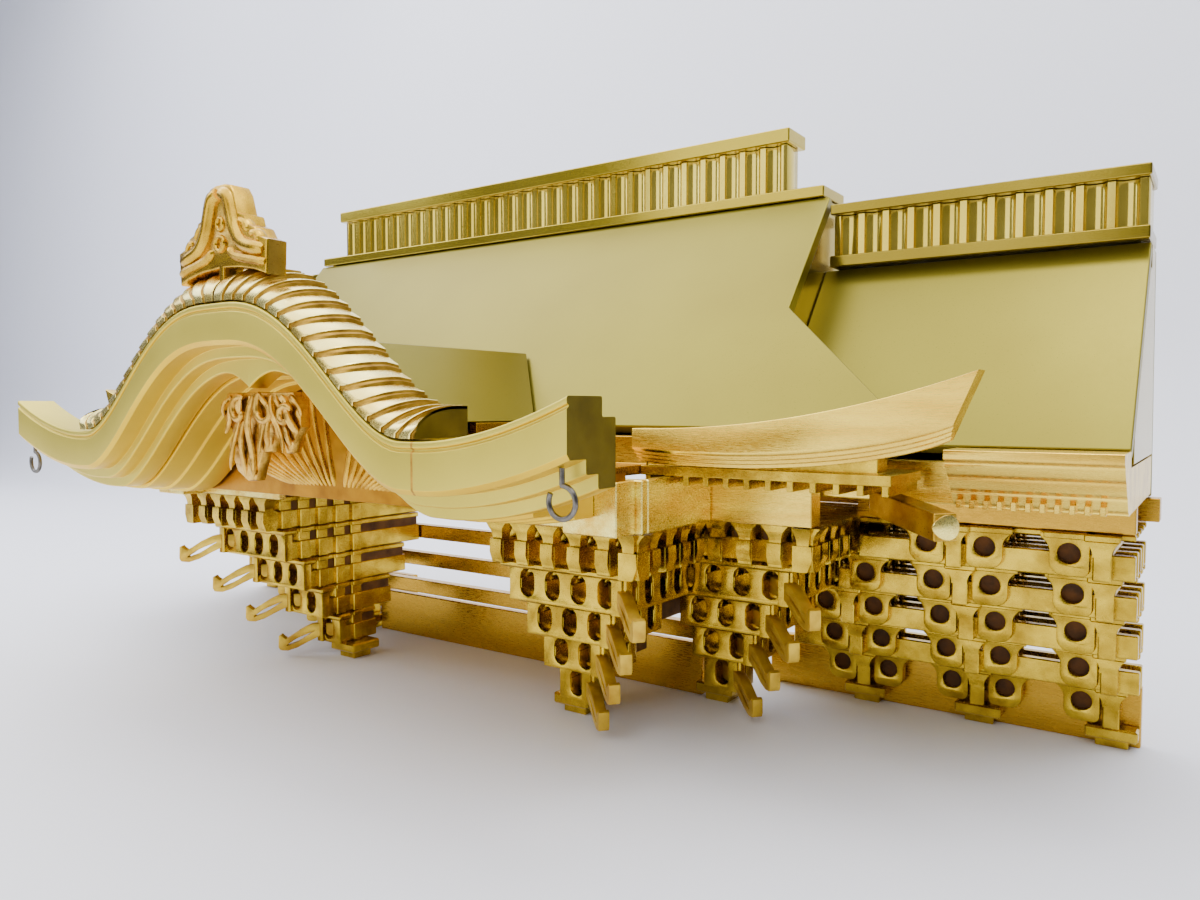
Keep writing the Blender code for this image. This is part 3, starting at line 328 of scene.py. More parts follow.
def piece(name, parts, finish, nodes=(), angle=32, edge_finish=None, edge_from=0.9):
    """One object from (points, faces) parts in millimetres: welded, turned faces outwards, put in metres.
    Faces whose normal's x is past edge_from either way take edge_finish, as sawn ends do."""
    points, faces, start = [], [], 0
    for part_points, part_faces in parts:
        points.append(part_points)
        faces += [[start + i for i in face] for face in part_faces]
        start += len(part_points)
    points = np.concatenate(points) * MM + (0, -FRONT_TO_MIDDLE * MM, 0)
    mesh = bpy.data.meshes.new(name)
    mesh.from_pydata(points.tolist(), [], faces)
    shape = bmesh.new()
    shape.from_mesh(mesh)
    bmesh.ops.remove_doubles(shape, verts=shape.verts, dist=0.004 * MM)
    bmesh.ops.recalc_face_normals(shape, faces=shape.faces)
    shape.to_mesh(mesh)
    shape.free()
    smooth_by_angle(mesh, angle)
    made = bpy.data.objects.new(name, mesh)
    bpy.context.scene.collection.objects.link(made)
    finish_piece(made, finish, nodes)
    if edge_finish:
        made.data.materials.append(edge_finish)
        chosen = np.abs(face_values(mesh, "normal")[:, 0]) > edge_from
        mesh.polygons.foreach_set("material_index", chosen.astype(np.int32))
    return made


def mirrored(parts, side):
    """The parts as they are for side 1, or with x negated for side -1."""
    return [(points * (side, 1, 1), faces) for points, faces in parts]


NOSE_WIDTH = 4.8
NOSE_UPPER = ((-17, 9.8), (3, 9.8), (7, 9.0), (12, 6.6), (16, 4.0), (20, 1.5), (21.5, 2.6), (22.7, 3.9),
              (24, 3.2))
NOSE_LOWER = ((24.2, -3), (23.4, -4.6), (22, -5), (19, -5.2), (14, -3.6), (8, -0.4), (2, 2.5), (-17, 2.8))
NOSE_SLOT_FROM = (4.5, 5.6)
NOSE_SLOT_TO = (19.5, -2.2)


def nose():
    """Diagonal arm: a profile drawn from its corner outwards, with a lens-shaped slot along its slope."""
    share = np.linspace(0, 1, 9)
    line = np.outer(1 - share, NOSE_SLOT_FROM) + np.outer(share, NOSE_SLOT_TO)
    half = (0.35 + 0.9 * share) * np.sin(np.pi * np.clip(share, 0.06, 0.94))
    slot = np.concatenate([line + np.outer(half, (0.4, 0.9)), (line - np.outer(half, (0.4, 0.9)))[::-1]])
    part = sawn([NOSE_UPPER + NOSE_LOWER, slot], NOSE_WIDTH)
    return moved(part, depth=-NOSE_WIDTH / 2)


def noses(x, depth):
    """The four diagonal arms of a right tower, one on the outer corner of each tier below the top."""
    lean = np.degrees(np.arctan2(-STEP_DEPTH, STEP_X))
    arms = []
    for tier in TIERS[:-1]:
        arm = turned(moved(nose(), tier * np.hypot(STEP_X, STEP_DEPTH)), lean)
        arms.append(moved(arm, x, depth, tier_z(tier)))
    return arms


def tower(x, depth, back_limit, shared_x, shared_depth):
    """The right tower's blocks: arcades on the two outer faces of each tier, crossed arms behind them.
    The arms reach back to back_limit, and past shared_x only to shared_depth(tier)."""
    parts = [brick(centred(x, FOOT_HALF), centred(depth, FOOT_HALF), (0, FOOT_HEIGHT))]
    parts.append(brick(centred(x, PAD_HALF), centred(depth, PAD_HALF), (FOOT_HEIGHT, BASE_HEIGHT), 0.8))
    for tier in TIERS:
        z = tier_z(tier)
        top = z + TIER_PITCH
        front = depth - tier * STEP_DEPTH - HALF_ARM
        outer = x + tier * STEP_X + HALF_ARM
        inner = x - HALF_ARM
        limit = shared_depth(tier)
        back = min(depth + HALF_ARM + tier * STEP_DEPTH, back_limit)
        side_back = min(depth + HALF_ARM, limit if outer > shared_x else NOTHING_NEAR)
        fronts, flanks = [arcade(STEP_X, tier)], [arcade(STEP_DEPTH, tier)]
        if tier == TIERS[-1]:
            fronts, flanks = stem_row(STEP_X, tier), stem_row(STEP_DEPTH, tier)
        parts += [moved(row, x, front + 1.2, z) for row in fronts]
        for row in flanks:
            kept = moved(turned(row, 90), outer - 1.2, front + HALF_ARM, z)
            if kept[0][:, 1].max() > side_back + HALF_ARM:
                kept[0][:, 1] = np.minimum(kept[0][:, 1], side_back)
            if np.ptp(kept[0][:, 1]) > 1:
                parts.append(kept)
        if tier < TIERS[-1]:
            ledge = (top - LEDGE, top)
            parts.append(brick((inner - 3.4, outer + 0.6), (front - 1.7, front + 7), ledge, 0.9))
            parts.append(brick((outer - 7, outer + 0.6), (front - 0.4, side_back), ledge, 1.1))
        for row in range(tier):
            line = depth - row * STEP_DEPTH
            far = outer - 1.5
            if line > limit - HALF_ARM:
                far = min(far, shared_x)
            parts.append(brick((inner, far), centred(line, HALF_ARM), (z, z + ARM_HEIGHT)))
            parts.append(brick((inner - 0.4, far), centred(line, THIN_HALF), (top - LEDGE + 0.3, top - 0.1)))
        for column in range(tier):
            line = x + column * STEP_X
            far = min(back, limit) if line + HALF_ARM > shared_x else back
            right = line + HALF_ARM
            if line <= shared_x <= right:
                right = shared_x
            # The inmost bars start short of the others' ends, so that no two faces lie in one plane.
            left = line - HALF_ARM if column else line - 1.2
            parts.append(brick((left, right), (front + 1.5, far), (z + 0.2, z + ARM_HEIGHT - 0.3)))
            parts.append(brick((left, right), (front + 1.5, far - 0.5), (top - LEDGE + 0.2, top - 0.2)))
            for row in range(tier):
                spot = depth - row * STEP_DEPTH
                if line + POST_HALF > shared_x and spot + POST_HALF > limit:
                    continue
                left = line - POST_HALF if column else line - 2
                post = (left, line + POST_HALF)
                parts.append(brick(post, centred(spot, POST_HALF), (z + 9.5, top - 0.3)))
    return parts


def tower_core(x, depth, back_limit, shared_x, shared_depth):
    """What closes the gaps deep between the crossed arms: one plain block inside each tier."""
    parts = []
    for tier in TIERS:
        front = depth - tier * STEP_DEPTH - HALF_ARM
        outer = x + tier * STEP_X + HALF_ARM
        back = min(depth + HALF_ARM + tier * STEP_DEPTH, back_limit) - 1.5
        far = outer - 9 if outer < shared_x or back < shared_depth(tier) else min(outer - 9, shared_x - 1)
        inside = (tier_z(tier) + 0.3, tier_z(tier + 1) - 0.3)
        parts.append(brick((x - 0.8, far), (front + 11.5, back), inside))
    return parts


def rear_front(tier):
    """Depth at which the rear tower's tier begins, where the front tower stops."""
    return REAR_TOWER[1] - tier * STEP_DEPTH - HALF_ARM - 0.3


def no_limit(tier):
    """Nothing stands behind the rear tower."""
    return NOTHING_NEAR


# Leaf on carved end grain: brighter and rougher than on the boards, with small dents of the knife.
carved_leaf = gilding("gold_leaf_carved", "#d6b534", "#9c7c1c", 0.22, 0.45, 0.014, patch=11, dents=0.14)
front_reach = (*FRONT_TOWER, FRONT_ARMS_BACK, SHARED_X, rear_front)
rear_reach = (*REAR_TOWER, REAR_ARMS_BACK, NOTHING_NEAR, no_limit)
front_parts = tower(*front_reach)
rear_parts = tower(*rear_reach)
cores = tower_core(*front_reach) + tower_core(*rear_reach)
arms = noses(*FRONT_TOWER) + noses(*REAR_TOWER)
# Leaf on the arms that stand out: warmer, and duller where hands have rubbed it.
nose_leaf = gilding("gold_leaf_noses", "#ecc83e", "#b88c22", 0.34, 0.5, 0.03, patch=10, metal=0.7, dents=0.1)
# Painted shade deep between the crossed arms: a dull dark brown gold on the cores, standing in for the shade
# there.
core_shade_finish = gilding("painted_shade_core_gold", "#7c5218", "#553408", 0.6, 0.6, 0.03, patch=8, metal=0.2)
for word, side in SIDES:
    piece(f"front_tower_{word}_carving", mirrored(front_parts, side), carved_leaf,
          [f"front_tower_{word}"])
    piece(f"rear_tower_{word}_carving", mirrored(rear_parts, side), carved_leaf,
          [f"rear_tower_{word}"])
    piece(f"tower_noses_{word}", mirrored(arms, side), nose_leaf)
    # The cores take the dark brown finish: painted shade between the arms.
    piece(f"tower_cores_{word}", mirrored(cores, side), core_shade_finish)


# Wing brackets: three clusters on each wing, tier by tier one more row of bars in front.
# Straight bars with sawn elbow plates on them, a stem and a small cap plate in the middle of each.

WING_CLUSTERS = (182, 232, 283)
WING_ROW_DEPTH = 217
WING_STEP = 11.5
WING_BAR = 5.5
WING_BACK = WING_ROW_DEPTH + WING_BAR
WING_END_X = 293
CUP_REACH = (4.0, 17.6)
CUP_HOLE = (10.9, 9.0, 7.6)
# Rows behind this depth pass behind the rear towers and start here. The others start beside their tiers.
WING_START_X = 150
REAR_TIERS_BACK = 189


def cup():
    """An elbow seen from the front: upright sides, a foot rounded by quarter circles of 5 and 3 mm, a top
    that flares by 3 mm, and a drilled hole. x runs out from the cluster's middle."""
    near, far = CUP_REACH
    turn = np.radians(np.linspace(0, 90, 7))
    foot = np.stack([far - 5 + 5 * np.sin(turn), 5 - 5 * np.cos(turn)], -1) + (0, 0.6)
    heel = np.stack([near + 3 - 3 * np.cos(turn), 3 - 3 * np.sin(turn)], -1) + (0, 0.6)
    t = np.linspace(0, 1, 6)
    lip = np.stack([far + 3 * t**2.2, 9.5 + 5 * t], -1)
    inner_lip = np.stack([near - 1.2 * t**2.2, 9.5 + 5 * t], -1)[::-1]
    rim = np.concatenate([foot, lip, [(far + 3, TIER_PITCH), (near - 1.2, TIER_PITCH)], inner_lip, heel])
    x, z, size = CUP_HOLE
    turn = np.linspace(0, 2 * np.pi, 19)[:-1]
    hole = np.stack([x + size / 2 * np.cos(turn), z + size / 2 * np.sin(turn)], -1)
    return sawn([rim, hole], WING_BAR - 0.6, edge=0.7)


def wing_rows():
    """The right wing's blocks, from the base blocks up to the beam, and apart from them the dark plates
    inside the elbows' holes, which are painted shade.
    """
    parts, hole_shades = [], []
    right_cup = cup()
    left_cup = right_cup[0] * (-1, 1, 1), right_cup[1]
    for x in WING_CLUSTERS:
        parts.append(brick(centred(x, FOOT_HALF), (218, WING_BACK), (0, FOOT_HEIGHT)))
        parts.append(brick(centred(x, PAD_HALF), (214, WING_BACK), (FOOT_HEIGHT, BASE_HEIGHT), 0.8))
    for tier in TIERS:
        z = tier_z(tier)
        top = z + TIER_PITCH
        rear_edge = REAR_TOWER[0] + tier * STEP_X + HALF_ARM + 0.8
        for row in range(tier):
            near = WING_ROW_DEPTH - row * WING_STEP
            start = WING_START_X if near > REAR_TIERS_BACK else rear_edge
            span = (start, WING_END_X)
            if tier > 1:
                parts.append(brick(span, (near + 1.5, near + WING_BAR), (z, z + ARM_HEIGHT - 0.6)))
                parts.append(brick(span, (near + 1.2, near + WING_BAR), (top - 2.2, top)))
            for x in WING_CLUSTERS:
                for elbow, way in ((left_cup, -1), (right_cup, 1)):
                    points, faces = moved(elbow, x, near - 1.8, z)
                    if points[:, 0].min() < start or points[:, 0].max() > WING_END_X:
                        continue
                    parts.append((points, faces))
                    spot = x + way * CUP_HOLE[0]
                    across, lip = (spot - 8.4, spot + 10.2), (top - 2.4, top - 0.2)
                    parts.append(brick(across, (near - 2.8, near + 4), lip, 0.3))
                    tall = (z + 4.6, z + 13.4)
                    # A dark plate inside the hole: painted shade.
                    hole_shades.append(brick(centred(spot, 4.4), (near + 0.9, near + 1.3), tall, 0.1))
        near = WING_ROW_DEPTH - (tier - 1) * WING_STEP
        for x in WING_CLUSTERS:
            if x - 6 < rear_edge and near < REAR_TIERS_BACK:
                continue
            parts.append(brick(centred(x, HALF_ARM), (near - 4, WING_BACK), (z, z + ARM_HEIGHT)))
            parts.append(flared(x, near - 1.6, z + ARM_HEIGHT - 1, top - 2.6, 6, 10.5))
            parts.append(brick(centred(x, 5.8), (near - 5, near + 3), (top - 2.6, top)))
    return parts, hole_shades


# Painted shade in the drilled holes: thin dark brown plates set inside each hole stand in for the shade
# there.
hole_shade_finish = gilding("painted_shade_in_holes", "#5c360a", "#3a2206", 0.85, 0.5, 0.02, metal=0.0, patch=6)
wing_parts, wing_hole_shades = wing_rows()
for word, side in SIDES:
    piece(f"wing_brackets_{word}_carving", mirrored(wing_parts, side), carved_leaf,
          [f"wing_brackets_{word}"])
    piece(f"wing_bracket_hole_shades_{word}", mirrored(wing_hole_shades, side), hole_shade_finish)


# Beams, purlins, the casing boards and the ceiling plank that lie on the brackets.
# Planed timbers, gilded where they show, and pinned down from above.

# Leaf laid in strips along a board, so that its roughness runs with the length.
eave_leaf = gilding("gold_leaf_eave", "#f8d858", "#d4aa3a", 0.24, 0.35, 0.045, stretch=(0.1, 1, 1), patch=9)
# Leaf on rough carved or sawn wood: bright on what stands proud, browner where the brush rubbed it off.
rough_leaf = gilding("gold_leaf_rough", "#ffee84", "#e2b844", 0.26, 0.6, 0.04, stretch=(1, 0.3, 1), patch=7)
CASING_HEIGHTS = (93.5, 113)
for word, side in SIDES:
    casing = [brick((60, 150), (70, 74), CASING_HEIGHTS), brick((146, 150), (74.2, 121.6), CASING_HEIGHTS)]
    casing.append(brick((124, 147.4), (57.6, 69.8), CASING_HEIGHTS))
    piece(f"porch_casing_{word}", mirrored(casing, side), rough_leaf)
    softened(f"main_eave_beam_{word}", 0.5, eave_leaf)
    for node in ("wing_front_beam", "wing_back_purlin"):
        softened(f"{node}_{word}", 0.5, board_leaf)
softened("porch_ceiling", 0.4, board_leaf)


# Porch gable board: one broad plank bent to a double curve, with a bead along its top edge, a bevel
# along its lower one and two steps in its underside; matt gold paint over a thick ground.

GABLE_HALF = 170
GLUE_X = 108.5


def gable_top(x):
    """A hump that eases into a trough: 50.5 (1 - t^2 (3 - 2t)) with t from 5 to 103 mm to the power 1.3,
    and past 110 mm a lift of 14 mm to the tip."""
    away = np.abs(x)
    t = np.clip((away - 5) / 98, 0, 1) ** 1.3
    lift = np.maximum((away - 110) / 60, 0) ** 1.8
    return 128 + 50.5 * (1 - t * t * (3 - 2 * t)) + 14 * lift


def gable_bottom(x):
    """The board's lower edge: 16 mm below its top in the middle and 18 mm below it at the tips."""
    return gable_top(x) - 16 - 2 * np.abs(x) / GABLE_HALF


def gable_low(x):
    """Lower edge of the last step, with a cusp in the middle."""
    return gable_bottom(x) - 9 - 7 * np.maximum(1 - np.abs(x) / 20, 0) ** 2


def eased(corners, radius):
    """A closed profile with its corners rounded: each becomes a quadratic curve that leaves its two sides
    at `radius` from the corner, or at 45 parts in 100 of a shorter side."""
    corners = np.asarray(corners, float)
    radius = np.broadcast_to(np.asarray(radius, float), (len(corners),))
    radius = radius.reshape(-1, *[1] * (corners.ndim - 1))

    def reach(side):
        return side * np.minimum(radius / (np.linalg.norm(side, axis=-1, keepdims=True) + 1e-9), 0.45)

    start = corners + reach(np.roll(corners, 1, axis=0) - corners)
    end = corners + reach(np.roll(corners, -1, axis=0) - corners)
    t = np.linspace(0, 1, 4).reshape(-1, *[1] * corners.ndim)
    curve = start * (1 - t) ** 2 + 2 * corners * t * (1 - t) + end * t**2
    return np.swapaxes(curve, 0, 1).reshape(-1, *corners.shape[1:])


def profiles(points):
    """Stacks (depth, z) pairs, each a number or one value for every station, into one array."""
    size = max(np.size(value) for pair in points for value in pair)
    return np.array([[np.broadcast_to(v, (size,)) for v in pair] for pair in points]).transpose(0, 2, 1)


def carried(x, profile):
    """A closed (depth, z) profile carried along the stations x."""
    rings = np.empty((len(x), profile.shape[0], 3))
    rings[..., 0] = x[:, None]
    rings[..., 1:] = np.swapaxes(profile, 0, 1)
    return loft(rings)


# Matt paint of powdered gold: even, pale, hardly any brush marks.
matt_gold = gilding("matt_gold_paint", "#d8c54a", "#c9b640", 0.42, 0.35, 0.004, metal=0.8, patch=60)
# Lacquer on the sawn ends: dark olive and dull, over bare end grain.
end_lacquer = gilding("olive_lacquer_ends", "#6f6216", "#54490e", 0.38, 0.4, 0.02, metal=0.7, patch=14)
stations = np.linspace(-GABLE_HALF, GABLE_HALF, 341)
top, bottom, low = gable_top(stations), gable_bottom(stations), gable_low(stations)
corners = [(1.4, bottom), (0, bottom + 1.8), (0, top - 3.6), (0.9, top - 3.1), (0.9, top - 2.5)]
corners += [(0, top - 2.1), (0, top), (17, top), (17, top - 6), (24, top - 6), (24, low), (15, low)]
corners += [(15, bottom - 4.5), (9, bottom - 4.5), (9, bottom)]
rounding = [0.2, 0.2, 0.2, 0.2, 0.2, 0.5, 0.8, 0.8, 0.6, 0.8, 0.8, 0.9, 0.3, 0.9, 0.3]
gable = piece("gable_board", [carried(stations, eased(profiles(corners), rounding))], matt_gold,
              ["porch_gable_board"], angle=40, edge_finish=end_lacquer)
# The same paint on the underside and in the lining, in a deeper yellow copy: painted shade, the warmer tone
# these faces take under the board.
lining_shade_gold = gilding("matt_gold_lining_painted_shade", "#e9c42a", "#d9b01e", 0.38, 0.35, 0.006, metal=0.85, patch=40)
gable.data.materials.append(lining_shade_gold)
# A brown line of glue runs across the face in the right trough, where a length is joined on.
glue = gilding("glue_line", "#c8962a", "#9c701c", 0.45, 0.5, 0.05, metal=0.7, patch=3)
gable.data.materials.append(glue)
centres = face_values(gable.data, "center")
finishes = face_values(gable.data, "material_index", 1)[:, 0]
# Faces that look down take the deeper yellow copy of the paint: painted shade.
finishes[face_values(gable.data, "normal")[:, 2] < -0.3] = 2
across_joint = np.abs(centres[:, 0] - GLUE_X * MM) < 0.6 * MM
finishes[across_joint & (centres[:, 1] < (1.5 - FRONT_TO_MIDDLE) * MM)] = 3
gable.data.polygons.foreach_set("material_index", finishes.astype(np.int32))


# Stepped lining inside the arch: three deeper bands, each hanging a little lower.
# Bent strips, glued behind the gable board and painted with it.

stations = np.linspace(-138, 138, 231)
bottom = gable_bottom(stations)
under = 160 - 31 * np.clip((np.abs(stations) - 45) / 23.6, 0, 1)
deck_low = np.where(np.abs(stations) > 75, 164, under)
low_top = np.minimum(bottom, deck_low - 1.2)
corners = [(38.7, low_top), (38.7, bottom), (24.3, bottom)]
for layer in (1, 2, 3):
    low = bottom - 9 - layer * 1.5
    corners += [(24.3 + (layer - 1) * 11, low), (24.3 + layer * 11, low)]
corners.append((57.3, low_top))
# The lining takes the deeper yellow copy of the paint: painted shade inside the arch.
piece("arch_lining", [carried(stations, eased(profiles(corners), 0.7))], lining_shade_gold,
      ["porch_soffit"], angle=40)


# Verge courses on the gable: sixteen on each side, each a carved band with a flat bright top and a
# rough groove beside it; they sweep outwards as they run back and step down towards the tips.

RIB_COUNT = 16
RIB_START = 0.4
RIB_END = 109
RIB_SWEEP = 10.5
RIB_DEPTH = 24
COURSE_STATIONS = (0.01, 0.04, 0.12, 0.25, 0.45, 0.62, 0.72, 0.76, 0.78, 0.86, 0.95, 0.985)
GROOVE_FROM = 7
COURSE_POINTS = 15


def verge_courses():
    """Rings along x; in each course the crest climbs by 2.2 mm, and its last third is a groove."""
    pitch = (RIB_END - RIB_START) / RIB_COUNT
    share = np.array(COURSE_STATIONS)
    groove = np.array([0.25, 0, 0, 0, 0, 0, 0, 0.15, 1.1, 1.3, 1.2, 1.0])
    along = (RIB_START + (np.arange(RIB_COUNT)[:, None] + share) * pitch).ravel()
    climb = np.tile(share, RIB_COUNT)
    cut = np.tile(groove, RIB_COUNT)
    turn = np.radians(np.linspace(0, 90, 12))
    depth = np.concatenate([[0.3], 0.3 + RIB_DEPTH * 0.8 * (1 - np.cos(turn)), [RIB_DEPTH, RIB_DEPTH]])
    lift = np.concatenate([[0], 0.15 + 0.85 * np.sin(turn), [1, 0]])
    travel = np.concatenate([[0], 0.03 + 0.85 * np.sin(turn) ** 0.8, [1, 1]])
    rise = 15 - 4 * along / RIB_END - 2.2 * (1 - climb) - cut
    sweep = RIB_SWEEP * np.clip((along - RIB_START) / 13, 0, 1) ** 0.7 * (1 - 0.35 * (along / RIB_END) ** 4)
    x = np.minimum(along[:, None] + sweep[:, None] * travel[None, :], RIB_END + 1)
    front_cut = cut[:, None] * np.clip(1 - depth / 10, 0, 1)[None, :] * 0.6
    rings = np.empty((len(along), len(depth), 3))
    rings[..., 0] = x
    rings[..., 1] = depth[None, :] + front_cut
    rings[..., 2] = gable_top(x) + 0.8 + rise[:, None] * lift[None, :]
    return loft(rings)


courses = [verge_courses()]
# Painted shade in the grooves: a darker golden brown on the groove faces, where shade falls between the
# courses.
groove_shade_gold = gilding("painted_shade_grooves", "#b8902a", "#8a6614", 0.4, 0.5, 0.02, patch=5, metal=0.8)
# Bright leaf on the flat tops of the courses, smooth enough for a clear sheen.
band_leaf = gilding("gold_leaf_bands", "#ffef92", "#f0cf62", 0.24, 0.5, 0.012, stretch=(1, 0.3, 1), patch=12)
for word, side in SIDES:
    made = piece(f"verge_courses_{word}", mirrored(courses, side), band_leaf,
                 [f"porch_ribs_{word}"], angle=28, edge_finish=end_lacquer, edge_from=0.999)
    made.data.materials.append(groove_shade_gold)
    finishes = face_values(made.data, "material_index", 1)[:, 0]
    station = np.arange(len(finishes)) // COURSE_POINTS % len(COURSE_STATIONS)
    # Faces in the grooves take the darker finish: painted shade.
    finishes[station >= GROOVE_FROM] = 2
    finishes[np.abs(face_values(made.data, "center")[:, 0]) > (RIB_END + 0.5) * MM] = 1
    made.data.polygons.foreach_set("material_index", finishes.astype(np.int32))


# Crest on the middle of the gable: carved rolls and curls round a bud, on a sawn ground.
# One block of cypress on a short tenon, carved in front only, gilded with thin leaf.


def roll(path, radius, flat=1.0, around=12):
    """A round moulding along a path of (x, depth, z) points: at each point a ring of this radius, across
    the path in the plane of x and z, and `flat` times as deep from front to back."""
    path = np.asarray(path, float)
    radius = np.broadcast_to(radius, (len(path),))
    way = np.gradient(path, axis=0)
    across = np.stack([-way[:, 2], np.zeros(len(path)), way[:, 0]], -1)
    across /= np.linalg.norm(across, axis=1, keepdims=True) + 1e-9
    turn = np.linspace(0, 2 * np.pi, around, endpoint=False)
    rings = path[:, None] + radius[:, None, None] * np.cos(turn)[None, :, None] * across[:, None]
    rings[..., 1] += flat * radius[:, None] * np.sin(turn)[None]
    return loft(rings)


def flowing(points, count):
    """A smooth line through a few points: a Catmull-Rom curve sampled evenly in its parameter."""
    knots = np.asarray(points, float)
    knots = np.concatenate([[2 * knots[0] - knots[1]], knots, [2 * knots[-1] - knots[-2]]])
    t = np.linspace(0, len(points) - 1.0001, count)
    i = t.astype(int)
    f = (t - i)[:, None]
    a, b, c, d = (knots[i + k] for k in range(4))
    return 0.5 * (2 * b + (c - a) * f + (2 * a - 5 * b + 4 * c - d) * f**2 + (3 * b - a - 3 * c + d) * f**3)


def at_depth(points, depth):
    """Puts flat (x, z) points at a depth, one for all or one for each."""
    points = np.asarray(points, float)
    return np.stack([points[:, 0], np.broadcast_to(depth, (len(points),)), points[:, 1]], -1)


def tapered(count, full, first=0.35, last=0.35):
    """Radius along a roll: full in the middle, rounded down to a share of it at each end."""
    t = np.linspace(0, 1, count)
    ends = np.minimum(np.sqrt(np.clip(t / 0.12, 0, 1)), np.sqrt(np.clip((1 - t) / 0.12, 0, 1)))
    share = np.interp(t, [0, 1], [first, last])
    return full * (share + (1 - share) * ends)


CREST_BASE = 194.6
half = [(0.10, 1.0), (0.22, 0.97), (0.30, 0.86), (0.38, 0.60), (0.52, 0.56), (0.56, 0.44), (0.72, 0.38)]
half += [(0.80, 0.26), (0.98, 0.20)]
right = [(30 * x, CREST_BASE + 29.5 * z) for x, z in half]
for x in (28.6, 21.5, 12.5):
    right.append((x, float(gable_top(x)) + 13.6 - 4 * x / RIB_END))
right += [(1.7, CREST_BASE - 2.4), (1.7, 179)]
ground = right + [(-x, z) for x, z in right[::-1]]
crest = [moved(sawn([ground], 9, edge=0.9), depth=4)]
for side in (1, -1):
    leg = flowing([(1.5, 220.5), (5.2, 218.5), (7.6, 212), (9.8, 206), (13.8, 201), (20, 198.5),
                   (27, 196.8)], 40)
    crest.append(roll(at_depth(leg * (side, 1), 4.8), tapered(40, 3.1, 0.9, 0.55), 1.05))
    foot = flowing([(5, 199.5), (9, 196.6), (15, 195.0), (22, 193.6), (28.2, 192.2)], 24)
    crest.append(roll(at_depth(foot * (side, 1), 5.2), tapered(24, 2.2, 0.5, 0.7), 1.2))
    shoulder = flowing([(11.5, 209.5), (15, 208), (17.3, 204.5)], 14)
    crest.append(roll(at_depth(shoulder * (side, 1), 6.0), tapered(14, 1.9, 0.7, 0.7), 1.5))
    lobe = flowing([(18.6, 203.5), (21.8, 203.4), (24, 200.4)], 14)
    crest.append(roll(at_depth(lobe * (side, 1), 6.0), tapered(14, 1.8, 0.7, 0.7), 1.5))
ring = np.linspace(0, 2 * np.pi, 33)
crest.append(roll(at_depth(np.stack([1.9 * np.cos(ring), 209 + 2.3 * np.sin(ring)], -1), 4.2), 0.9, 1.2))
crest.append(roll(at_depth(np.stack([2.8 * np.cos(ring), 201.5 + 2.6 * np.sin(ring)], -1), 4.0), 1.0, 1.2))
# Thin dull gold on the sawn sides of the crest.
side_lacquer = gilding("olive_gold_sides", "#a5842c", "#86681c", 0.3, 0.4, 0.01, metal=0.8, patch=14)
# Leaf on smooth round carving: a deep gold with soft highlights.
crest_leaf = gilding("gold_leaf_crest", "#d2a82c", "#b0861c", 0.24, 0.4, 0.015, patch=9, dents=0.08)
piece("gable_crest", crest, crest_leaf, ["porch_finial"], edge_finish=side_lacquer,
      edge_from=0.995)


# Pendant under the cusp: a draped cloth, carved thin, with folds that fan out to its lobes.
# One carved board, glued behind the gable board's lower edge.

FOLDS = 13
CURL_POINTS = 28


def curl(x, z, radius, start, sweep):
    """Flat spiral: the radius shrinks in proportion to the angle, down to a fifth."""
    angle = np.radians(start + np.linspace(0, sweep, CURL_POINTS))
    size = radius * np.linspace(1, 0.2, CURL_POINTS)
    return np.stack([x + size * np.cos(angle), z + size * np.sin(angle)], -1)


outline = [(-22, 144.8), (22, 144.8), (26, 140), (26.8, 131), (23, 127), (20.5, 121), (17, 120.5), (15, 126)]
outline += [(10, 127), (8, 121), (2, 120.5), (-1, 114), (-3, 109), (-9, 108.6), (-16, 112.5), (-18.5, 117)]
outline += [(-17, 124), (-20, 130), (-24, 133), (-26.6, 139)]
pendant = [moved(sawn([outline], 5, edge=1.2), depth=19.4)]
tips = [(-25, 135), (-22.5, 128), (-18, 121.5), (-17.5, 113), (-10, 109.6), (-3, 110.5), (1.5, 120)]
tips += [(7.5, 123), (12, 126.5), (17.5, 121), (22, 124), (26, 128.5), (26.4, 135.5)]
tips = np.array(tips)
along = np.linspace(0, len(tips) - 1, FOLDS)
tip_x = np.interp(along, np.arange(len(tips)), tips[:, 0])
tip_z = np.interp(along, np.arange(len(tips)), tips[:, 1])
for i in range(FOLDS):
    start = (-19 + 38 * i / (FOLDS - 1), 143.4)
    bow = 2.6 * np.sin(i * 1.1)
    middle = ((start[0] + tip_x[i]) / 2 + bow, (start[1] + tip_z[i]) / 2 + 2)
    line = flowing([start, middle, (tip_x[i], tip_z[i])], 22)
    fold = 19.0 - 0.9 * (i % 2) + 0.9 * np.sin(np.linspace(0, 7, 22) + 1.7 * i)
    pendant.append(roll(at_depth(line, fold), tapered(22, 1.0 + 0.35 * (i % 3), 0.5, 0.3), 0.7, 10))
for x, z, radius, start in ((-11, 137, 6.5, 60), (7, 138, 7.5, 120), (19, 135, 5, 30)):
    line = at_depth(curl(x, z, radius, start, 300), 17.6)
    pendant.append(roll(line, tapered(CURL_POINTS, 1.5, 0.5, 0.4), 0.9))
# Leaf on the pendant: rosier and duller, rubbed on its many small folds.
pendant_leaf = gilding("gold_leaf_pendant", "#dfb24a", "#b08430", 0.3, 0.6, 0.05, patch=4, dents=0.6)
piece("gable_pendant", pendant, pendant_leaf, ["porch_pendant"])


# Panel that closes the porch: curved ribs that spread from under the pendant, and pale tendrils.
# One board carved in low relief, set between the gable board and the casing.

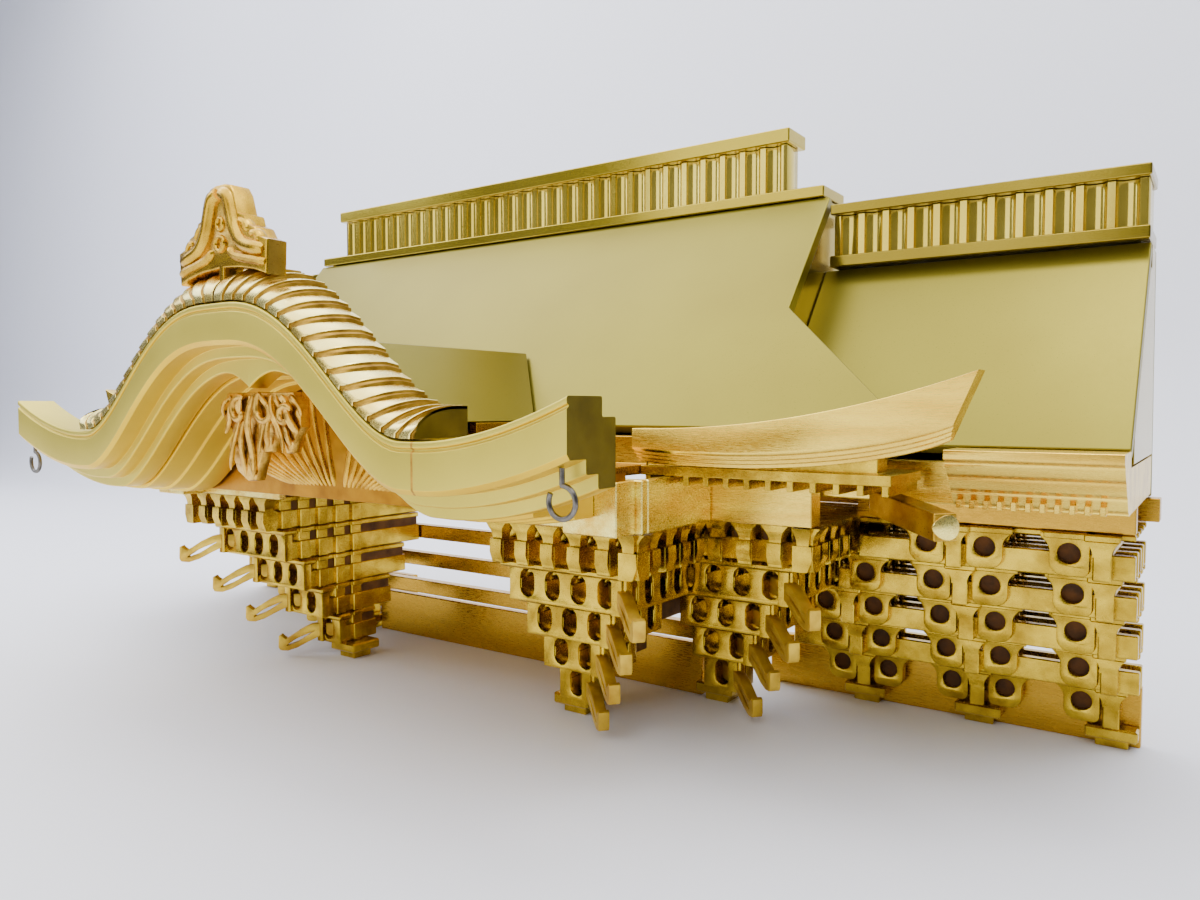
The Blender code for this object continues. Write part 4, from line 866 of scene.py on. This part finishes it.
stations = np.linspace(-146, 146, 147)
arch = gable_bottom(stations)
panel_top = np.maximum(114.5, np.minimum(arch, 157))
corners = [(58.6, 98), (58.6, panel_top), (65.6, panel_top), (65.6, 98)]
panel = [carried(stations, eased(profiles(corners), 0.4))]
ribs = []
for side in (1, -1):
    for i, reach in enumerate(np.linspace(12, 118, 12)):
        rise = np.interp(reach, [0, 60, 118], [150, 143, 116])
        bend = 112 + 10 * (1 - i / 12)
        line = flowing([(reach * 0.28, 104), (reach * 0.62, bend), (reach * 0.9, rise - 3)], 20)
        ribs.append(roll(at_depth(line * (side, 1), 59.0), tapered(20, 1.7, 0.5, 0.5), 0.8))
    for i, reach in enumerate((30, 58, 88)):
        tendril = curl(reach, 128 - i * 5, 6.5 - i, 200, 420) * (side, 1)
        ribs.append(roll(at_depth(tendril, 57.9), tapered(CURL_POINTS, 0.8), 0.9))
# Thin leaf on the panel's ground, painted a deep brown gold: painted shade, where the panel lies back in the
# shadow of the gable.
panel_shade_leaf = gilding("gold_leaf_panel", "#ae7a0a", "#885806", 0.34, 0.5, 0.03, patch=12, dents=0.1)
piece("porch_panel_carving", panel, panel_shade_leaf, ["porch_panel"])
# The ribs stand proud in a paler gold than the ground, whose brown is painted shade.
rib_leaf = gilding("gold_leaf_panel_ribs", "#dcae34", "#b4841c", 0.28, 0.5, 0.02, patch=9, dents=0.08)
piece("porch_panel_ribs", ribs, rib_leaf)


# Low roof behind the gable, and the two steel screw hooks under the gable's tips.
# A lacquered board that runs back to the main roof. The hooks are bent wire with a thread, screwed in.

# Clear lacquer with gold powder in it: satin, pale olive gold, a soft even gloss.
pale_lacquer = gilding("pale_gold_lacquer", "#8a7f22", "#82761d", 0.32, 0.35, 0.001, metal=0.7, patch=80)
softened("porch_deck", 0.5, pale_lacquer)
HOOK_X = 164.5
HOOK_LOOP = 4.8
# Drawn steel wire: a grey metal with faint lines along its bends and a duller bloom in places.
hook_steel = gilding("drawn_steel_wire", "#7a756c", "#5c5850", 0.3, 0.3, 0.004, patch=3)
for word, side in SIDES:
    top = float(gable_bottom(HOOK_X)) - 0.3
    turn = np.radians(np.linspace(90, -210, 40))
    bend = np.stack([HOOK_LOOP * np.cos(turn), top - 9.8 + HOOK_LOOP * np.sin(turn)], -1)
    shank = np.stack([np.zeros(6), np.linspace(top, top - 4.6, 6)], -1)
    line = np.concatenate([shank, bend]) + (side * HOOK_X, 0)
    piece(f"screw_hook_{word}", [roll(at_depth(line, 5), 0.85)], hook_steel, [f"hook_{word}"])


# Main eaves: an upswept board with three beads under it, a fascia plank and small rafter ends.
# Sawn to their curve from one plank each, with the leaf laid in strips along them.

EAVE_START = 136
EAVE_LENGTH = 122
EAVE_TOP = 131
EAVE_LIFT = 19
share = np.linspace(0, 1, 90)
stations = EAVE_START + EAVE_LENGTH * share
top = EAVE_TOP + EAVE_LIFT * share**2.2
low = top - 8 - 9 * share
corners = [(94, top), (85, top), (85, low + 0.9), (85.7, low)]
for bead in (1, 2, 3):
    corners += [(85 + 1.6 * bead, low), (85 + 1.6 * bead, low - 1.5)]
    low = low - 1.5
corners.append((94, low))
board = carried(stations, eased(profiles(corners), 0.55))
# Towards the tip the board is cut on a slant: the lower a point lies, the further in it moves.
away = (board[0][:, 0] - EAVE_START) / EAVE_LENGTH
board[0][:, 0] -= 0.42 * away**6 * (EAVE_TOP + EAVE_LIFT * away**2.2 - board[0][:, 2])
# Leaf rubbed thin on the corner rafters, over brown ground.
rafter_leaf = gilding("gold_leaf_rafter", "#d6b23a", "#a67a20", 0.3, 0.5, 0.03, patch=9, dents=0.08)
for word, side in SIDES:
    piece(f"eave_board_{word}", mirrored([board], side), eave_leaf, [f"main_eave_board_{word}"])
    softened(f"main_eave_frame_{word}", 0.3, carved_leaf)
    softened(f"corner_rafter_{word}", 0.6, rafter_leaf)
    turn = np.linspace(0, 2 * np.pi, 25)[:-1]
    lens = np.stack([4.6 * np.cos(turn), 4.0 * np.sin(turn) * (1 + 0.2 * np.cos(turn))], -1)
    cap = moved(turned(sawn([lens], 1.2, edge=0.4), 45), 247.35, 94.65, 101)
    piece(f"corner_rafter_{word}_cap", mirrored([cap], side), rough_leaf)


# Wing eaves: four steps of moulding under the fascia, and the floor behind them.
# Planed moulding, glued under the roof board, with small rafter ends let into its foot.

steps = [(131, 124.8), (110, 124.8)]
for i in range(4):
    z = 125 - i * 5.125
    steps += [(110 + i * 5, z - 3.4), (112.2 + i * 5, z - 4.4), (112.2 + i * 5, z - 5.1)]
steps += [(133, 104.6), (219, 104.6), (219, 119.6), (131.5, 119.6)]
stations = np.linspace(242, 294, 5)
moulding = carried(stations, eased(profiles(steps), 0.6))
floor_plank = brick((152, 242.2), (133, 220), (104.5, 119.8))
rafters = [brick((x, x + 1.8), (121.5, 134), (104.6, 107.6), 0.2) for x in 243.5 + 4.3 * np.arange(11)]
for word, side in SIDES:
    blocks = mirrored([moulding, floor_plank, *rafters], side)
    piece(f"wing_eave_{word}_moulding", blocks, eave_leaf, [f"wing_eave_{word}"])


# Roofs: plain boards in satin lacquer, the upright walls under their verges, and the leaning back.
# Thin sprayed planks, glued along their edges.

# Glossy lacquer on the walls and the ridges: olive gold, smooth, with clear reflections.
olive_lacquer = gilding("olive_gold_lacquer", "#bfa938", "#ae972a", 0.15, 0.35, 0.0006, metal=0.85, patch=60)
softened("main_roof_slope", 0.6, pale_lacquer)
softened("roof_back", 0.6, pale_lacquer)
for word, side in SIDES:
    softened(f"wing_roof_slope_{word}", 0.6, pale_lacquer)
    softened(f"main_gable_wall_{word}", 0.4, olive_lacquer)
    softened(f"wing_end_wall_{word}", 0.4, olive_lacquer)


# Ridges: a plinth, a frieze with upright flutes and a cap, in glossy olive gold.
# Three strips of wood to each ridge, lacquered apart and stacked on the roof boards.

FLUTE_PITCH = 10.4
FLUTE_WIDTH = 7.8
FLUTE_DEPTH = 2.5


def fluted(middle, half, front, back, low, high):
    """A frieze: each flute's plan is a half ellipse, depth 2.5 sqrt(1 - u^2) across its width."""
    count = int((2 * half - FLUTE_WIDTH - 0.3) / FLUTE_PITCH)
    centres = (np.arange(count + 1) - count / 2) * FLUTE_PITCH
    u = np.sin(np.radians(np.linspace(-90, 90, 11)))
    x = (centres[:, None] + u * FLUTE_WIDTH / 2).ravel()
    cut = np.tile(FLUTE_DEPTH * np.sqrt(1 - u**2), count + 1)
    x = np.concatenate([[-half + 0.5], x, [half - 0.5]]) + middle
    cut = np.concatenate([[0], cut, [0]])
    near = np.stack([x, front + cut], -1)
    far = np.stack([x, back - cut], -1)[::-1]
    plan = np.concatenate([near, [(middle + half, front + 0.5), (middle + half, back - 0.5)], far,
                           [(middle - half, back - 0.5), (middle - half, front + 0.5)]])
    rings = np.empty((2, len(plan), 3))
    rings[..., :2] = plan
    rings[..., 2] = np.array([low, high])[:, None]
    return loft(rings)


# The ridges' olive gold lacquer on the friezes, in a lighter copy: painted highlight, for the bright gleam
# along the flutes.
frieze_highlight_lacquer = gilding("olive_gold_frieze_painted_highlight", "#e6cf5a", "#cdb23c", 0.12, 0.35, 0.0006, metal=0.85, patch=60)
frieze = fluted(middle=0, half=152, front=188, back=201.3, low=236.6, high=257.6)
piece("main_ridge_flutes", [frieze], frieze_highlight_lacquer,
      ["main_ridge_frieze"], angle=50)
softened("main_ridge_plinth", 0.7, olive_lacquer)
softened("main_ridge_cap", 0.7, olive_lacquer)
# The same olive gold lacquer on the wing ridges' plinths and caps, in a darker copy: painted shade, where
# they catch less light than the main ridge.
wing_ridge_shade_lacquer = gilding("olive_gold_wing_ridge_painted_shade", "#98842a", "#88741e", 0.15, 0.35, 0.0006, metal=0.85,
                       patch=60)
frieze = fluted(middle=234.25, half=58.75, front=186, back=210, low=204.9, high=221.9)
for word, side in SIDES:
    piece(f"wing_ridge_flutes_{word}", mirrored([frieze], side), frieze_highlight_lacquer,
          [f"wing_ridge_frieze_{word}"], angle=50)
    softened(f"wing_ridge_plinth_{word}", 0.7, wing_ridge_shade_lacquer)
    softened(f"wing_ridge_cap_{word}", 0.7, wing_ridge_shade_lacquer)


# Studio: a pale sheet that curves up close behind the roof, a wide soft light above and fill lights.
# The sheet is matt card. None of it is part of the object.

# In metres: the bend's middle lies this far back, and the sheet curves up round it with this radius.
BEND_BACK = 0.42
BEND_RADIUS = 0.22
SHEET_HALF = 4.0
fold = np.radians(np.linspace(-90, 0, 16))
bend = np.stack([BEND_BACK + BEND_RADIUS * np.cos(fold), BEND_RADIUS + BEND_RADIUS * np.sin(fold)], -1)
sweep = np.concatenate([[(-1.6, 0)], bend, [(BEND_BACK + BEND_RADIUS, 1.6)]])
grid = np.empty((2, len(sweep), 3))
grid[..., 0] = np.array([[-SHEET_HALF], [SHEET_HALF]])
grid[..., 1:] = sweep
index = np.arange(2 * len(sweep)).reshape(2, -1)
sheet_faces = np.stack([index[0, :-1], index[1, :-1], index[1, 1:], index[0, 1:]], -1)
sheet_mesh = bpy.data.meshes.new("paper_sheet")
sheet_mesh.from_pydata(grid.reshape(-1, 3).tolist(), [], sheet_faces.tolist())
sheet_mesh.shade_smooth()
sheet = bpy.data.objects.new("paper_sheet", sheet_mesh)
bpy.context.scene.collection.objects.link(sheet)
paper = bpy.data.materials.new("pale_paper")
paper.use_nodes = True
paper_shader = paper.node_tree.nodes["Principled BSDF"]
paper_shader.inputs["Base Color"].default_value = linear("#f3f4f9")
paper_shader.inputs["Roughness"].default_value = 0.75
sheet_mesh.materials.append(paper)


def soft_light(name, place, target, size, power, colour):
    """A square light of this size in metres that faces the target."""
    lamp = bpy.data.lights.new(name, "AREA")
    lamp.shape = "SQUARE"
    lamp.size = size
    lamp.energy = power
    lamp.color = linear(colour)[:3]
    made = bpy.data.objects.new(name, lamp)
    made.location = place
    facing = np.array(target) - np.array(place)
    made.rotation_euler = (
        np.arccos(-facing[2] / np.linalg.norm(facing)),
        0,
        np.arctan2(facing[1], facing[0]) - np.pi / 2,
    )
    bpy.context.scene.collection.objects.link(made)
    return made


soft_light("overhead", (-0.2, -0.1, 1.2), (-0.2, 0, 0.1), 2.6, 70, "#f9faff")
soft_light("window", (-0.55, 0.15, 1.05), (0.1, 0.05, 0.1), 0.7, 2.5, "#fffdf8")
soft_light("front", (-0.3, -1.35, 0.35), (0.05, 0, 0.12), 0.9, 5.5, "#ffffff")
soft_light("gloss", (0.25, -0.05, 1.0), (0.25, 0.0, 0.1), 0.22, 1.2, "#ffffff")
soft_light("backdrop", (-1.3, -0.5, 0.9), (-1.1, 0.6, 0.3), 0.8, 9, "#dde4ff")
world = bpy.data.worlds.new("room")
world.use_nodes = True
world.node_tree.nodes["Background"].inputs["Color"].default_value = linear("#dcdff0")
world.node_tree.nodes["Background"].inputs["Strength"].default_value = 0.26
bpy.context.scene.world = world

# The photo's own view, fitted to points that mirror each other left and right.
camera = bpy.data.cameras.new("photo_view")
camera.lens = 26.82
camera.sensor_width = 36
camera.clip_start = 0.01
viewer = bpy.data.objects.new("photo_view", camera)
viewer.location = (0.319, -0.3097, 0.1387)
viewer.rotation_euler = (np.radians(90 - 2.72), 0, np.radians(35.15))
bpy.context.scene.collection.objects.link(viewer)
bpy.context.scene.camera = viewer

bpy.context.view_layer.update()
